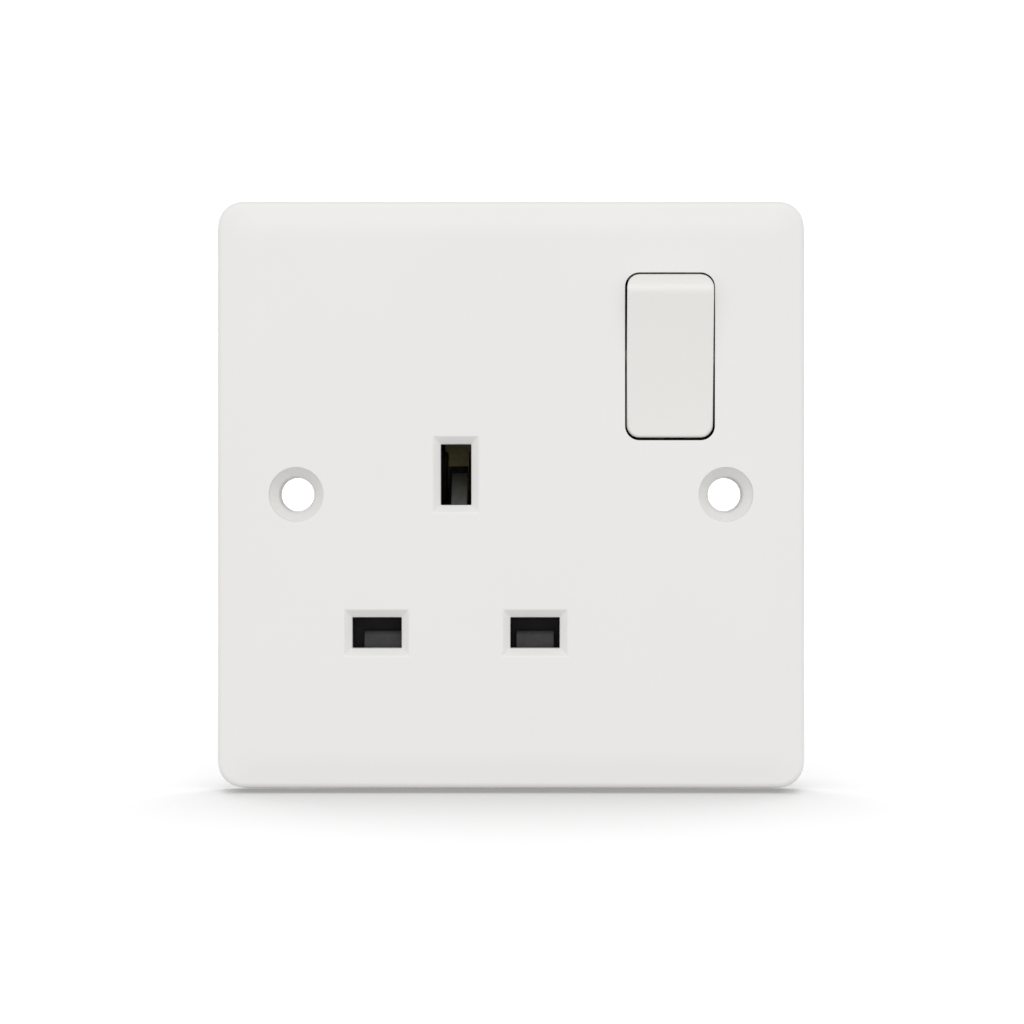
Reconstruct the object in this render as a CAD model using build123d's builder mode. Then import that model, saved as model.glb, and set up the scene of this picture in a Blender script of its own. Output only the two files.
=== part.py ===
"""Switched wall socket for flush mounting: moulded plate, rocker switch, shutter and live parts.

Millimetres. X is to the right, Y runs into the wall and Z is up. The origin is the centre of the
plate on the wall plane, so the plate stands in front of it (negative Y) and the base behind it.
The rocker rests in its "on" position and the shutter is closed.
"""
import os
from math import atan2, cos, degrees, pi, radians, sin, sqrt

from build123d import *

# Front plate
PLATE_SIDE = 84.0
PLATE_DEPTH = 9.0
PLATE_CORNER = 4.3
FRONT_WALL = 3.0
RIM_WALL = 2.4
RIM_DRAFT = 0.9
BEVEL_WIDTH = 4.0
BEVEL_DROP = 0.5
EDGE_BREAK = 0.6
BEVEL_START = 1.6
FIXING_SPACING = 60.3
FIXING_HOLE = 4.5
FIXING_SINK = 7.8
FIXING_BOSS = 9.0

# Pin slots, about the socket's own upright axis
SOCKET_X = -7.73
EARTH_Z = 2.8
PIN_SPACING = 22.23
PIN_DROP = 22.23
EARTH_SLOT = (4.3, 8.55)
LINE_SLOT = (6.95, 4.35)
SLOT_BEVEL = 1.1
PIN_PLAY = 0.3
EARTH_PIN_LENGTH = 22.73

# Rocker switch
SWITCH_X = 22.3
SWITCH_Z = 19.5
OPENING_WIDTH = 12.8
OPENING_HEIGHT = 23.65
OPENING_CORNER = 2.05
OPENING_RELIEF = 0.9
ROCKER_GAP = 0.24
ROCKER_PROUD = 1.0
ROCKER_HOLLOW = 0.45
ROCKER_TILT = 7.0
ROCKER_WALL = 1.4
ROCKER_NOSE = 2.0
NOSE_LENGTH = 1.0
NOSE_DROP = 0.91
ROCKER_END = 2.5
ROCKER_SKIRT = 2.2
SKIRT_HALF = 4.2
ROCKER_HEEL = 1.5
PIVOT_DEPTH = 5.0
PIVOT_PIN = 2.4
PIVOT_PLAY = 0.05
PIVOT_REACH = 1.5
STEM_OUTER = 5.2
STEM_BORE = 3.6
STEM_REACH = 7.5
PLUNGER_PLAY = 0.1
PLUNGER_NOSE = 1.2
PLUNGER_CAP = 30.0
PLUNGER_REACH = 10.38

# See-saw contact
BLADE_TILT = 8.0
BLADE_WIDTH = 5.0
BLADE_THICK = 0.8
BLADE_UP = 8.5
BLADE_DOWN = 8.0
BLADE_BEAD = 1.0
BLADE_PLAY = 0.08
BLADE_OFFSET = 12.2
SADDLE_RADIUS = 3.35
SADDLE_DEPTH = 0.25
TIP_ARM = 7.0
TIP_RADIUS = 1.6
TIP_HEIGHT = 0.8
TIP_GAP = 0.1
TIP_TAPER = 50.0

# Brass and screws
BRASS = 0.8
STRAP_WIDTH = 4.0
STRAP_RUN = 7.5
JAW_GAP = 3.44
JAW_FLARE = 1.2
JAW_BEND = 0.7
LINE_JAW_WIDTH = 6.5
EARTH_JAW_WIDTH = 7.0
EARTH_RELIEF = 5.0
BLOCK = (7.5, 8.7, 8.0)
WIRE_BORE = 4.2
TERMINAL_SCREW = 3.5
TERMINAL_SLOT = 0.9
TERMINAL_ACCESS = 5.8
BASE_SCREW = 2.9
BASE_HEAD = (5.6, 1.9)
SCREW_PLAY = 0.1
HEAD_PLAY = 0.6

# Shutter
SHUTTER_SPACE = 3.8
SHUTTER_THICK = 1.6
SHUTTER_PLAY = 0.2
SHUTTER_SHIFT = 0.4
SHUTTER_HALF = 15.0
SHUTTER_BAR = 6.0
SHUTTER_STEM = 8.0
SHUTTER_TRAVEL = 5.2
BLOCK_IN = 8.06
BLOCK_OUT = 13.4
RAMP_WIDTH = 2.3
TRAY_THICK = 1.4
TRAY_RAIL = 1.2
TRAY_NECK = 13.0
WINDOW_WIDTH = 4.0
SHUTTER_COIL = (3.0, 0.5, 5)
ROCKER_COIL = (3.2, 0.5, 4)
COIL_STEPS = 10

# Rear base
BASE_WALL = 1.5
BASE_FLOOR = 2.3
BASE_LEFT = -28.5
BASE_RIGHT = 32.0
BASE_LOWER_RIGHT = 30.5
BASE_BOTTOM = -30.5
BASE_TOP = 34.2
BASE_CORNER = 1.6
NOTCH_X = 24.5
NOTCH_HALF = 5.3
CHAMBER_HALF = 4.4
PARTITION = 1.2
COLUMN = 6.6
PLATE_BOSS = 5.2
WIRE_ENTRY = 5.6

# Levels along Y, from the front to the back
FRONT_Y = -PLATE_DEPTH
SHOULDER_Y = FRONT_Y + BEVEL_DROP
INNER_Y = FRONT_Y + FRONT_WALL
TRAY_Y = INNER_Y + SHUTTER_SPACE
PARTITION_Y = TRAY_Y + TRAY_THICK
STRAP_Y = FRONT_Y + EARTH_PIN_LENGTH + 0.17
FLOOR_Y = STRAP_Y + BRASS
BACK_Y = FLOOR_Y + BASE_FLOOR
COLUMN_Y = PARTITION_Y
PIVOT_Y = FRONT_Y + PIVOT_DEPTH
FULCRUM_Y = PIVOT_Y + BLADE_OFFSET
BORE_Y = STRAP_Y - BLOCK[1] / 2 - 0.65

# Places in the plane of the wall
LINE_Z = EARTH_Z - PIN_DROP
LIVE_X = SOCKET_X - PIN_SPACING / 2
NEUTRAL_X = SOCKET_X + PIN_SPACING / 2
SHUTTER_X = SOCKET_X + SHUTTER_SHIFT
TERMINALS = {"live": (7.5, 26.5), "earth": (-16.0, 26.5), "neutral": (17.5, -24.0)}
COLUMNS = [(-24.0, 24.0), (26.0, -25.0)]
BLADE_TURN = -radians(BLADE_TILT)
TIP_Y = FULCRUM_Y + TIP_HEIGHT * cos(BLADE_TURN) - TIP_ARM * sin(BLADE_TURN)
TIP_Z = SWITCH_Z + TIP_HEIGHT * sin(BLADE_TURN) + TIP_ARM * cos(BLADE_TURN)
PLATFORM_Y = TIP_Y + TIP_GAP + TIP_HEIGHT


def level(depth):
    """Plane across the socket at a depth behind the wall plane: sketch x is right, y is up."""
    return Plane.XZ.offset(-depth)


def upright(across):
    """Upright plane square to the wall: sketch x runs into the wall, y is up."""
    return Plane.YZ.offset(across)


def tilted(depth, degrees):
    """Upright plane through the switch at a depth, turned with the piece that rocks there."""
    turn = radians(degrees)
    return Plane((SWITCH_X, depth, SWITCH_Z), x_dir=(0, cos(turn), sin(turn)), z_dir=(1, 0, 0))


def along(depth, degrees, reach):
    """Plane square to the tilted piece's own depth axis, this far behind its pivot."""
    turn = radians(degrees)
    way = Vector(0, cos(turn), sin(turn))
    return Plane(Vector(SWITCH_X, depth, SWITCH_Z) + way * reach, x_dir=(1, 0, 0), z_dir=way)


def at_level(piece, depth):
    """Edges of a piece that lie in the plane at this depth."""
    return piece.edges().filter_by_position(Axis.Y, depth - 0.01, depth + 0.01)


def save(piece, name):
    """Name a finished piece and write it."""
    piece.part.label = name
    export_step(piece.part, f"parts/{name}.step")


os.makedirs("parts", exist_ok=True)

# Front plate: drafted rim, shallow bevel, flat face, hollow back
with BuildPart() as front_plate:
    with BuildSketch(level(0)):
        RectangleRounded(PLATE_SIDE, PLATE_SIDE, PLATE_CORNER)
    extrude(amount=-SHOULDER_Y)
    rim = front_plate.faces().filter_by(lambda face: abs(face.normal_at().Y) < 0.5)
    draft(rim, level(0), degrees(atan2(RIM_DRAFT, -SHOULDER_Y)))
    chamfer(at_level(front_plate, SHOULDER_Y), EDGE_BREAK)
    with BuildSketch(level(SHOULDER_Y)):
        bevel_side = PLATE_SIDE - 2 * (RIM_DRAFT + BEVEL_START)
        Rectangle(bevel_side, bevel_side)
    extrude(amount=BEVEL_DROP, taper=degrees(atan2(BEVEL_WIDTH - BEVEL_START, BEVEL_DROP)))
    with BuildSketch(level(0)):
        hollow_side = PLATE_SIDE - 2 * RIM_WALL
        Rectangle(hollow_side, hollow_side)
    extrude(amount=-INNER_Y, mode=Mode.SUBTRACT)

    # Fixing bosses, countersunk from the front
    with BuildSketch(level(INNER_Y)):
        with GridLocations(FIXING_SPACING, 1, 2, 1):
            Circle(FIXING_BOSS / 2)
    extrude(amount=INNER_Y)
    with Locations(level(FRONT_Y)):
        with GridLocations(FIXING_SPACING, 1, 2, 1):
            CounterSinkHole(FIXING_HOLE / 2, FIXING_SINK / 2, counter_sink_angle=90)

    # Bevelled pin slots
    for centre, size in (
        ((SOCKET_X, EARTH_Z), EARTH_SLOT),
        ((LIVE_X, LINE_Z), LINE_SLOT),
        ((NEUTRAL_X, LINE_Z), LINE_SLOT),
    ):
        with BuildSketch(level(FRONT_Y)):
            with Locations(centre):
                Rectangle(*size)
        extrude(amount=-FRONT_WALL, mode=Mode.SUBTRACT)
        slot_edges = front_plate.edges(Select.LAST)
        chamfer(slot_edges.filter_by_position(Axis.Y, FRONT_Y - 0.01, FRONT_Y + 0.01), SLOT_BEVEL)

    # Switch opening, wider at the back where the rocker's ends swing
    with BuildSketch(level(FRONT_Y)):
        with Locations((SWITCH_X, SWITCH_Z)):
            RectangleRounded(OPENING_WIDTH, OPENING_HEIGHT, OPENING_CORNER)
    with BuildSketch(level(INNER_Y)):
        with Locations((SWITCH_X, SWITCH_Z)):
            back_width = OPENING_WIDTH + OPENING_RELIEF
            back_height = OPENING_HEIGHT + 2 * OPENING_RELIEF
            RectangleRounded(back_width, back_height, OPENING_CORNER)
    loft(ruled=True, mode=Mode.SUBTRACT)

    # Cradles for the rocker's pins, open to the back
    cradle_near = OPENING_WIDTH / 2 + 0.2
    cradle_far = cradle_near + PIVOT_REACH + 0.1
    cradle_y = PIVOT_Y + PIVOT_PIN / 2 + PIVOT_PLAY
    pin_seat = PIVOT_PIN / 2 + PIVOT_PLAY
    for across in (SWITCH_X - cradle_far, SWITCH_X + cradle_near):
        with BuildSketch(upright(across)):
            with Locations(((INNER_Y + cradle_y) / 2, SWITCH_Z)):
                Rectangle(cradle_y - INNER_Y, 4 * pin_seat)
            with Locations((PIVOT_Y, SWITCH_Z)):
                Circle(pin_seat, mode=Mode.SUBTRACT)
                Rectangle(3 * pin_seat, 2 * pin_seat, align=(Align.MIN, Align.CENTER), mode=Mode.SUBTRACT)
        extrude(amount=cradle_far - cradle_near)

    # Bosses for the base screws
    with BuildSketch(level(INNER_Y)):
        with Locations(*COLUMNS):
            Rectangle(PLATE_BOSS, PLATE_BOSS)
            Circle(BASE_SCREW / 2 + SCREW_PLAY / 2, mode=Mode.SUBTRACT)
    extrude(amount=INNER_Y - COLUMN_Y)

save(front_plate, "front_plate")

# Rocker: a drum segment with a hollowed face, built in its resting tilt
ROCKER_TOP = sqrt((OPENING_HEIGHT / 2 - ROCKER_GAP) ** 2 + PIVOT_DEPTH**2)
FACE_U = -(PIVOT_DEPTH + ROCKER_PROUD)
DRUM = ROCKER_TOP - ROCKER_GAP / 2
FACE_HALF = sqrt(DRUM**2 - FACE_U**2)
END_RISE = (sqrt(DRUM**2 - ROCKER_HEEL**2) - FACE_HALF) / (-ROCKER_HEEL - FACE_U)
STEM_FLOOR = -2.5
PLUNGER_BACK = 2.5


def rocker_end(depth, hand):
    """Point on the rocker's slanted top or bottom end, at a depth from its pivot."""
    return (depth, ROCKER_GAP / 2 + hand * (FACE_HALF + END_RISE * (depth - FACE_U)))


with BuildPart() as switch_rocker:
    half_width = OPENING_WIDTH / 2 - ROCKER_GAP
    corner = OPENING_CORNER - ROCKER_GAP
    side = tilted(PIVOT_Y, ROCKER_TILT)
    with BuildSketch(side):
        with BuildLine():
            face_low = rocker_end(FACE_U, -1)
            face_high = (FACE_U, FACE_HALF - NOSE_LENGTH)
            ThreePointArc(face_low, (FACE_U + ROCKER_HOLLOW, 0), face_high)
            Polyline(
                face_high,
                rocker_end(FACE_U + NOSE_DROP, 1),
                rocker_end(-ROCKER_HEEL, 1),
                (ROCKER_SKIRT, SKIRT_HALF),
                (ROCKER_SKIRT, -SKIRT_HALF),
                rocker_end(-ROCKER_HEEL, -1),
                face_low,
            )
        make_face()
    extrude(amount=half_width, both=True)
    nose = side.from_local_coords((*face_high, 0))
    fillet(switch_rocker.edges().filter_by(Axis.X).sort_by_distance(nose)[0], ROCKER_NOSE)
    for hand in (-1, 1):
        slant = Axis(side.origin, side.x_dir + side.y_dir * hand * END_RISE)
        fillet(switch_rocker.edges().filter_by(slant), corner)

    # Hollow back with the spring tube and the two pins
    with BuildSketch(side):
        with Locations((FACE_U + ROCKER_HOLLOW + ROCKER_WALL, 0)):
            Rectangle(2 * DRUM, 2 * (DRUM - ROCKER_END), align=(Align.MIN, Align.CENTER))
    extrude(amount=half_width - ROCKER_WALL, both=True, mode=Mode.SUBTRACT)
    with BuildSketch(along(PIVOT_Y, ROCKER_TILT, FACE_U + ROCKER_HOLLOW + ROCKER_WALL / 2)) as stem:
        Circle(STEM_OUTER / 2)
    extrude(amount=STEM_REACH - FACE_U - ROCKER_HOLLOW - ROCKER_WALL / 2)
    with BuildSketch(along(PIVOT_Y, ROCKER_TILT, STEM_FLOOR)):
        Circle(STEM_BORE / 2)
    extrude(amount=STEM_REACH - STEM_FLOOR, mode=Mode.SUBTRACT)
    for hand in (-1, 1):
        with BuildSketch(side.offset(hand * (half_width - ROCKER_WALL / 2))):
            Circle(PIVOT_PIN / 2)
        extrude(amount=hand * (ROCKER_WALL / 2 + PIVOT_REACH))

save(switch_rocker, "switch_rocker")

with BuildPart() as rocker_plunger:
    plunger_radius = STEM_BORE / 2 - PLUNGER_PLAY / 2
    with BuildSketch(side):
        with BuildLine():
            cap = radians(PLUNGER_CAP)
            cap_edge = (PLUNGER_REACH + PLUNGER_NOSE * cos(cap), PLUNGER_NOSE * sin(cap))
            Polyline(
                (PLUNGER_REACH + PLUNGER_NOSE, 0),
                (PLUNGER_BACK, 0),
                (PLUNGER_BACK, plunger_radius),
                (STEM_REACH + 1, plunger_radius),
                cap_edge,
            )
            RadiusArc(cap_edge, (PLUNGER_REACH + PLUNGER_NOSE, 0), PLUNGER_NOSE)
        make_face()
    revolve(axis=Axis(side.origin, side.x_dir))

save(rocker_plunger, "rocker_plunger")

# See-saw blade: a bead on its back rocks in the fulcrum, a saddle on its front takes the plunger
with BuildPart() as moving_contact:
    blade = tilted(FULCRUM_Y, -BLADE_TILT)
    with BuildSketch(blade):
        with Locations((-BLADE_THICK / 2, (BLADE_UP - BLADE_DOWN) / 2)):
            Rectangle(BLADE_THICK, BLADE_UP + BLADE_DOWN)
        Circle(BLADE_BEAD)
        with Locations((SADDLE_DEPTH - BLADE_THICK - SADDLE_RADIUS, 0)):
            Circle(SADDLE_RADIUS, mode=Mode.SUBTRACT)
    extrude(amount=BLADE_WIDTH / 2, both=True)

save(moving_contact, "moving_contact")

with BuildPart() as moving_contact_tip:
    with BuildSketch(Plane(blade.from_local_coords((0, TIP_ARM, 0)), z_dir=blade.x_dir)):
        Circle(TIP_RADIUS)
    extrude(amount=TIP_HEIGHT)

save(moving_contact_tip, "moving_contact_tip")

# Supply strip under the live terminal, stepped forward to the switch
live_x, live_z = TERMINALS["live"]
PLATFORM_LEFT = SWITCH_X - 4.3
PLATFORM_RIGHT = SWITCH_X + 2.4
with BuildPart() as fixed_contact_strip:
    with BuildSketch(Plane.XY.offset(live_z - BLADE_WIDTH / 2)):
        with BuildLine():
            Polyline(
                (live_x - BLOCK[0] / 2, STRAP_Y + BRASS / 2),
                (PLATFORM_LEFT - 2.2, STRAP_Y + BRASS / 2),
                (PLATFORM_LEFT, PLATFORM_Y + BRASS / 2),
                (PLATFORM_RIGHT, PLATFORM_Y + BRASS / 2),
            )
        trace(line_width=BRASS)
    extrude(amount=BLADE_WIDTH)
    with BuildSketch(level(FLOOR_Y)):
        with Locations((live_x, live_z)):
            Circle(TERMINAL_SCREW / 2 + SCREW_PLAY / 2)
    extrude(amount=FLOOR_Y - PLATFORM_Y, mode=Mode.SUBTRACT)

save(fixed_contact_strip, "fixed_contact_strip")

with BuildPart() as fixed_contact_tip:
    with BuildSketch(level(PLATFORM_Y)):
        with Locations((SWITCH_X, TIP_Z)):
            Circle(TIP_RADIUS)
    extrude(amount=TIP_HEIGHT, taper=TIP_TAPER)

save(fixed_contact_tip, "fixed_contact_tip")

# Pin contacts: folded jaws on flat strips
LINE_MOUTH = PARTITION_Y + 1.4
EARTH_MOUTH = PARTITION_Y + 3.2
LEAF = (JAW_GAP + BRASS) / 2
JAW_BACK = STRAP_Y + BRASS / 2
STRAP_TURN = -9.0
neutral_x, neutral_z = TERMINALS["neutral"]
earth_x, earth_z = TERMINALS["earth"]


CONTACTS = {
    "live_contact": (
        Plane((LIVE_X - LINE_JAW_WIDTH / 2, 0, LINE_Z), x_dir=(0, 1, 0), z_dir=(1, 0, 0)),
        (LINE_MOUTH, LINE_JAW_WIDTH),
        [
            (SWITCH_X, SWITCH_Z + 2),
            (SWITCH_X, 12),
            (20.4, 8.5),
            (20.4, STRAP_TURN),
            (LIVE_X, STRAP_TURN),
            (LIVE_X, LINE_Z),
        ],
        [],
    ),
    "neutral_contact": (
        Plane((NEUTRAL_X - LINE_JAW_WIDTH / 2, 0, LINE_Z), x_dir=(0, 1, 0), z_dir=(1, 0, 0)),
        (LINE_MOUTH, LINE_JAW_WIDTH),
        [
            (NEUTRAL_X, LINE_Z),
            (NEUTRAL_X + STRAP_RUN, LINE_Z),
            (neutral_x - 4, neutral_z),
            (neutral_x + BLOCK[0] / 2, neutral_z),
        ],
        [(neutral_x, neutral_z)],
    ),
    "earth_contact": (
        Plane((SOCKET_X, 0, EARTH_Z - EARTH_JAW_WIDTH / 2), x_dir=(0, 1, 0), z_dir=(0, 0, 1)),
        (EARTH_MOUTH, EARTH_JAW_WIDTH),
        [
            (SOCKET_X, EARTH_Z + EARTH_JAW_WIDTH / 2),
            (SOCKET_X, 13.5),
            (earth_x, earth_z - 5),
            (earth_x, earth_z + BLOCK[2] / 2),
        ],
        [(earth_x, earth_z)],
    ),
}
for name, (jaw_plane, (mouth, jaw_width), route, holes) in CONTACTS.items():
    with BuildPart() as contact:
        with BuildSketch(jaw_plane):
            with BuildLine():
                FilletPolyline(
                    (mouth, LEAF + JAW_FLARE),
                    (mouth + 2.2, LEAF),
                    (JAW_BACK, LEAF),
                    (JAW_BACK, -LEAF),
                    (mouth + 2.2, -LEAF),
                    (mouth, -LEAF - JAW_FLARE),
                    radius=(0, JAW_BEND, JAW_BEND, 0),
                )
            trace(line_width=BRASS)
        extrude(amount=jaw_width)
        with BuildSketch(level(FLOOR_Y)):
            with BuildLine():
                Polyline(*route)
            trace(line_width=STRAP_WIDTH)
            for hole in holes:
                with Locations(hole):
                    Circle(TERMINAL_SCREW / 2 + SCREW_PLAY / 2, mode=Mode.SUBTRACT)
        extrude(amount=BRASS)
        if name == "earth_contact":
            with BuildSketch(level(FLOOR_Y)):
                with Locations((SOCKET_X, EARTH_Z - EARTH_JAW_WIDTH / 2)):
                    Rectangle(JAW_GAP, EARTH_RELIEF, align=(Align.CENTER, Align.MIN))
            extrude(amount=BRASS, mode=Mode.SUBTRACT)
        if name == "live_contact":
            with BuildSketch(upright(SWITCH_X - BLADE_WIDTH / 2)):
                with Locations((FULCRUM_Y + 0.55, SWITCH_Z)):
                    Rectangle(FLOOR_Y - FULCRUM_Y - 0.55, 3.2, align=(Align.MIN, Align.CENTER))
                with Locations((FULCRUM_Y, SWITCH_Z)):
                    Circle(BLADE_BEAD + BLADE_PLAY, mode=Mode.SUBTRACT)
            extrude(amount=BLADE_WIDTH)
    save(contact, name)

# Terminals: bored brass blocks on the strap ends, each with one clamping screw from the back
for name, (across, height) in TERMINALS.items():
    with BuildPart() as terminal:
        with BuildSketch(level(STRAP_Y)):
            with Locations((across, height)):
                Rectangle(BLOCK[0], BLOCK[2])
        extrude(amount=BLOCK[1])
        with BuildSketch(Plane.XY.offset(height - BLOCK[2] / 2)):
            with Locations((across, BORE_Y)):
                Circle(WIRE_BORE / 2)
        extrude(amount=BLOCK[2], mode=Mode.SUBTRACT)
        with BuildSketch(level(STRAP_Y)):
            with Locations((across, height)):
                Circle(TERMINAL_SCREW / 2 + SCREW_PLAY / 2)
        extrude(amount=STRAP_Y - BORE_Y, mode=Mode.SUBTRACT)
    save(terminal, f"{name}_terminal")

TERMINAL_TIP = BORE_Y + WIRE_BORE / 2 + 0.3
TERMINAL_END = BACK_Y - 0.6
with BuildPart() as terminal_screws:
    with BuildSketch(level(TERMINAL_END)):
        with Locations(*TERMINALS.values()):
            Circle(TERMINAL_SCREW / 2)
    extrude(amount=TERMINAL_END - TERMINAL_TIP)
    with BuildSketch(level(TERMINAL_END)):
        with Locations(*TERMINALS.values()):
            Rectangle(2 * TERMINAL_SCREW, TERMINAL_SLOT)
    extrude(amount=TERMINAL_SLOT, mode=Mode.SUBTRACT)

save(terminal_screws, "terminal_screws")

SEAT_Y = BACK_Y - BASE_HEAD[1] - 0.3
with BuildPart() as base_screws:
    with BuildSketch(level(SEAT_Y)):
        with Locations(*COLUMNS):
            Circle(BASE_SCREW / 2)
    extrude(amount=SEAT_Y - INNER_Y - 0.8)
    with BuildSketch(level(SEAT_Y)):
        with Locations(*COLUMNS):
            Circle(BASE_HEAD[0] / 2)
    extrude(amount=-BASE_HEAD[1])

save(base_screws, "base_screws")

# Shutter: crossbar over the line slots, spring window, ramp in the earth slot
SHUTTER_BACK = TRAY_Y - SHUTTER_PLAY
SHUTTER_FRONT = SHUTTER_BACK - SHUTTER_THICK
BAR_Z = LINE_Z - 0.15
BAR_TOP = BAR_Z + SHUTTER_BAR / 2
STEM_TOP = EARTH_Z - EARTH_SLOT[1] / 2 - 0.9
WINDOW_TOP = STEM_TOP - 2.6
WINDOW_LOW = BAR_TOP + 0.9
PEG_LOW = WINDOW_LOW + 0.5
PEG_TOP = PEG_LOW + 1.6
with BuildPart() as shutter:
    with BuildSketch(level(SHUTTER_BACK)):
        with Locations((SHUTTER_X, BAR_Z)):
            Rectangle(2 * SHUTTER_HALF, SHUTTER_BAR)
        with Locations((SHUTTER_X, STEM_TOP)):
            Rectangle(SHUTTER_STEM, STEM_TOP - BAR_Z, align=(Align.CENTER, Align.MAX))
        with Locations((SHUTTER_X, WINDOW_TOP)):
            window = WINDOW_TOP - WINDOW_LOW
            Rectangle(WINDOW_WIDTH, window, align=(Align.CENTER, Align.MAX), mode=Mode.SUBTRACT)
    extrude(amount=SHUTTER_THICK)
    with BuildSketch(level(SHUTTER_FRONT)):
        for hand in (-1, 1):
            with Locations((SHUTTER_X + hand * (BLOCK_IN + BLOCK_OUT) / 2, LINE_Z + 0.2)):
                Rectangle(BLOCK_OUT - BLOCK_IN, SHUTTER_BAR / 2, align=(Align.CENTER, Align.MAX))
    extrude(amount=SHUTTER_FRONT - INNER_Y - 0.3)
    block_edges = shutter.edges().filter_by(Axis.X).group_by(Axis.Y)[0]
    chamfer(block_edges.sort_by(Axis.Z)[-2:], 0.5)
    with BuildSketch(upright(SHUTTER_X - RAMP_WIDTH / 2)):
        with BuildLine():
            Polyline(
                (SHUTTER_BACK, STEM_TOP - 1),
                (INNER_Y + 0.6, STEM_TOP - 1),
                (INNER_Y + 0.6, STEM_TOP + 1.1),
                (PARTITION_Y + 2.4, EARTH_Z + 0.4),
                (PARTITION_Y + 2.4, EARTH_Z - 1.2),
                (SHUTTER_BACK, STEM_TOP + 1.0),
                close=True,
            )
        make_face()
    extrude(amount=RAMP_WIDTH)

save(shutter, "shutter")

COIL_Y = (TRAY_Y + INNER_Y) / 2
# Wire coils behind the plunger and above the shutter's peg
for name, start, way, length, (outer, wire, turns) in (
    (
        "rocker_spring",
        side.from_local_coords((STEM_FLOOR, 0, 0)),
        side.x_dir,
        PLUNGER_BACK - STEM_FLOOR,
        ROCKER_COIL,
    ),
    (
        "shutter_spring",
        Vector(SHUTTER_X, COIL_Y, PEG_TOP),
        Vector(0, 0, 1),
        WINDOW_TOP - PEG_TOP,
        SHUTTER_COIL,
    ),
):
    height = length - wire
    with BuildPart() as spring:
        foot = Plane(start + way * (wire / 2), z_dir=way)
        steps = round(turns * COIL_STEPS)
        with BuildLine() as coil:
            Polyline(
                *[
                    foot.from_local_coords(
                        (
                            (outer - wire) / 2 * cos(2 * pi * step / COIL_STEPS),
                            (outer - wire) / 2 * sin(2 * pi * step / COIL_STEPS),
                            height * step / steps,
                        )
                    )
                    for step in range(steps + 1)
                ]
            )
        with BuildSketch(Plane(coil.line @ 0, x_dir=foot.x_dir, z_dir=coil.line % 0)):
            Rectangle(wire, wire)
        sweep(path=coil.line, transition=Transition.RIGHT)
    save(spring, name)

# Tray: flat guide behind the shutter, with rails up to the plate and a peg for the coil
RAIL_IN = SHUTTER_HALF + SHUTTER_SHIFT + SHUTTER_PLAY
TRAY_LOW = BAR_Z - SHUTTER_BAR / 2 - SHUTTER_TRAVEL - 0.6
TRAY_STEP = BAR_TOP + 2.0
TRAY_TOP = EARTH_Z + EARTH_SLOT[1] / 2 + 1.5
with BuildPart() as shutter_tray:
    with BuildSketch(level(PARTITION_Y)):
        with Locations((SOCKET_X, TRAY_LOW)):
            tray_width = 2 * (RAIL_IN + TRAY_RAIL)
            Rectangle(tray_width, TRAY_STEP - TRAY_LOW, align=(Align.CENTER, Align.MIN))
            Rectangle(TRAY_NECK, TRAY_TOP - TRAY_LOW, align=(Align.CENTER, Align.MIN))
        with Locations((LIVE_X, LINE_Z), (NEUTRAL_X, LINE_Z)):
            Rectangle(LINE_SLOT[0] + 2 * PIN_PLAY, LINE_SLOT[1] + 2 * PIN_PLAY, mode=Mode.SUBTRACT)
        with Locations((SOCKET_X, EARTH_Z)):
            Rectangle(EARTH_SLOT[0] + 2 * PIN_PLAY, EARTH_SLOT[1] + 2 * PIN_PLAY, mode=Mode.SUBTRACT)
        with Locations((SHUTTER_X, EARTH_Z)):
            ramp_run = EARTH_Z - STEM_TOP + SHUTTER_TRAVEL + 1.2
            Rectangle(
                RAMP_WIDTH + 2 * SHUTTER_PLAY + 0.4,
                ramp_run,
                align=(Align.CENTER, Align.MAX),
                mode=Mode.SUBTRACT,
            )
    extrude(amount=TRAY_THICK)
    with BuildSketch(level(TRAY_Y)):
        for hand in (-1, 1):
            with Locations((SOCKET_X + hand * (RAIL_IN + TRAY_RAIL / 2), TRAY_LOW)):
                Rectangle(TRAY_RAIL, TRAY_STEP - TRAY_LOW, align=(Align.CENTER, Align.MIN))
    extrude(amount=SHUTTER_SPACE)
    with BuildSketch(level(TRAY_Y)):
        with Locations((SHUTTER_X, PEG_LOW)):
            Rectangle(WINDOW_WIDTH - 0.6, PEG_TOP - PEG_LOW, align=(Align.CENTER, Align.MIN))
    extrude(amount=SHUTTER_SPACE - 0.4)

save(shutter_tray, "shutter_tray")

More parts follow.
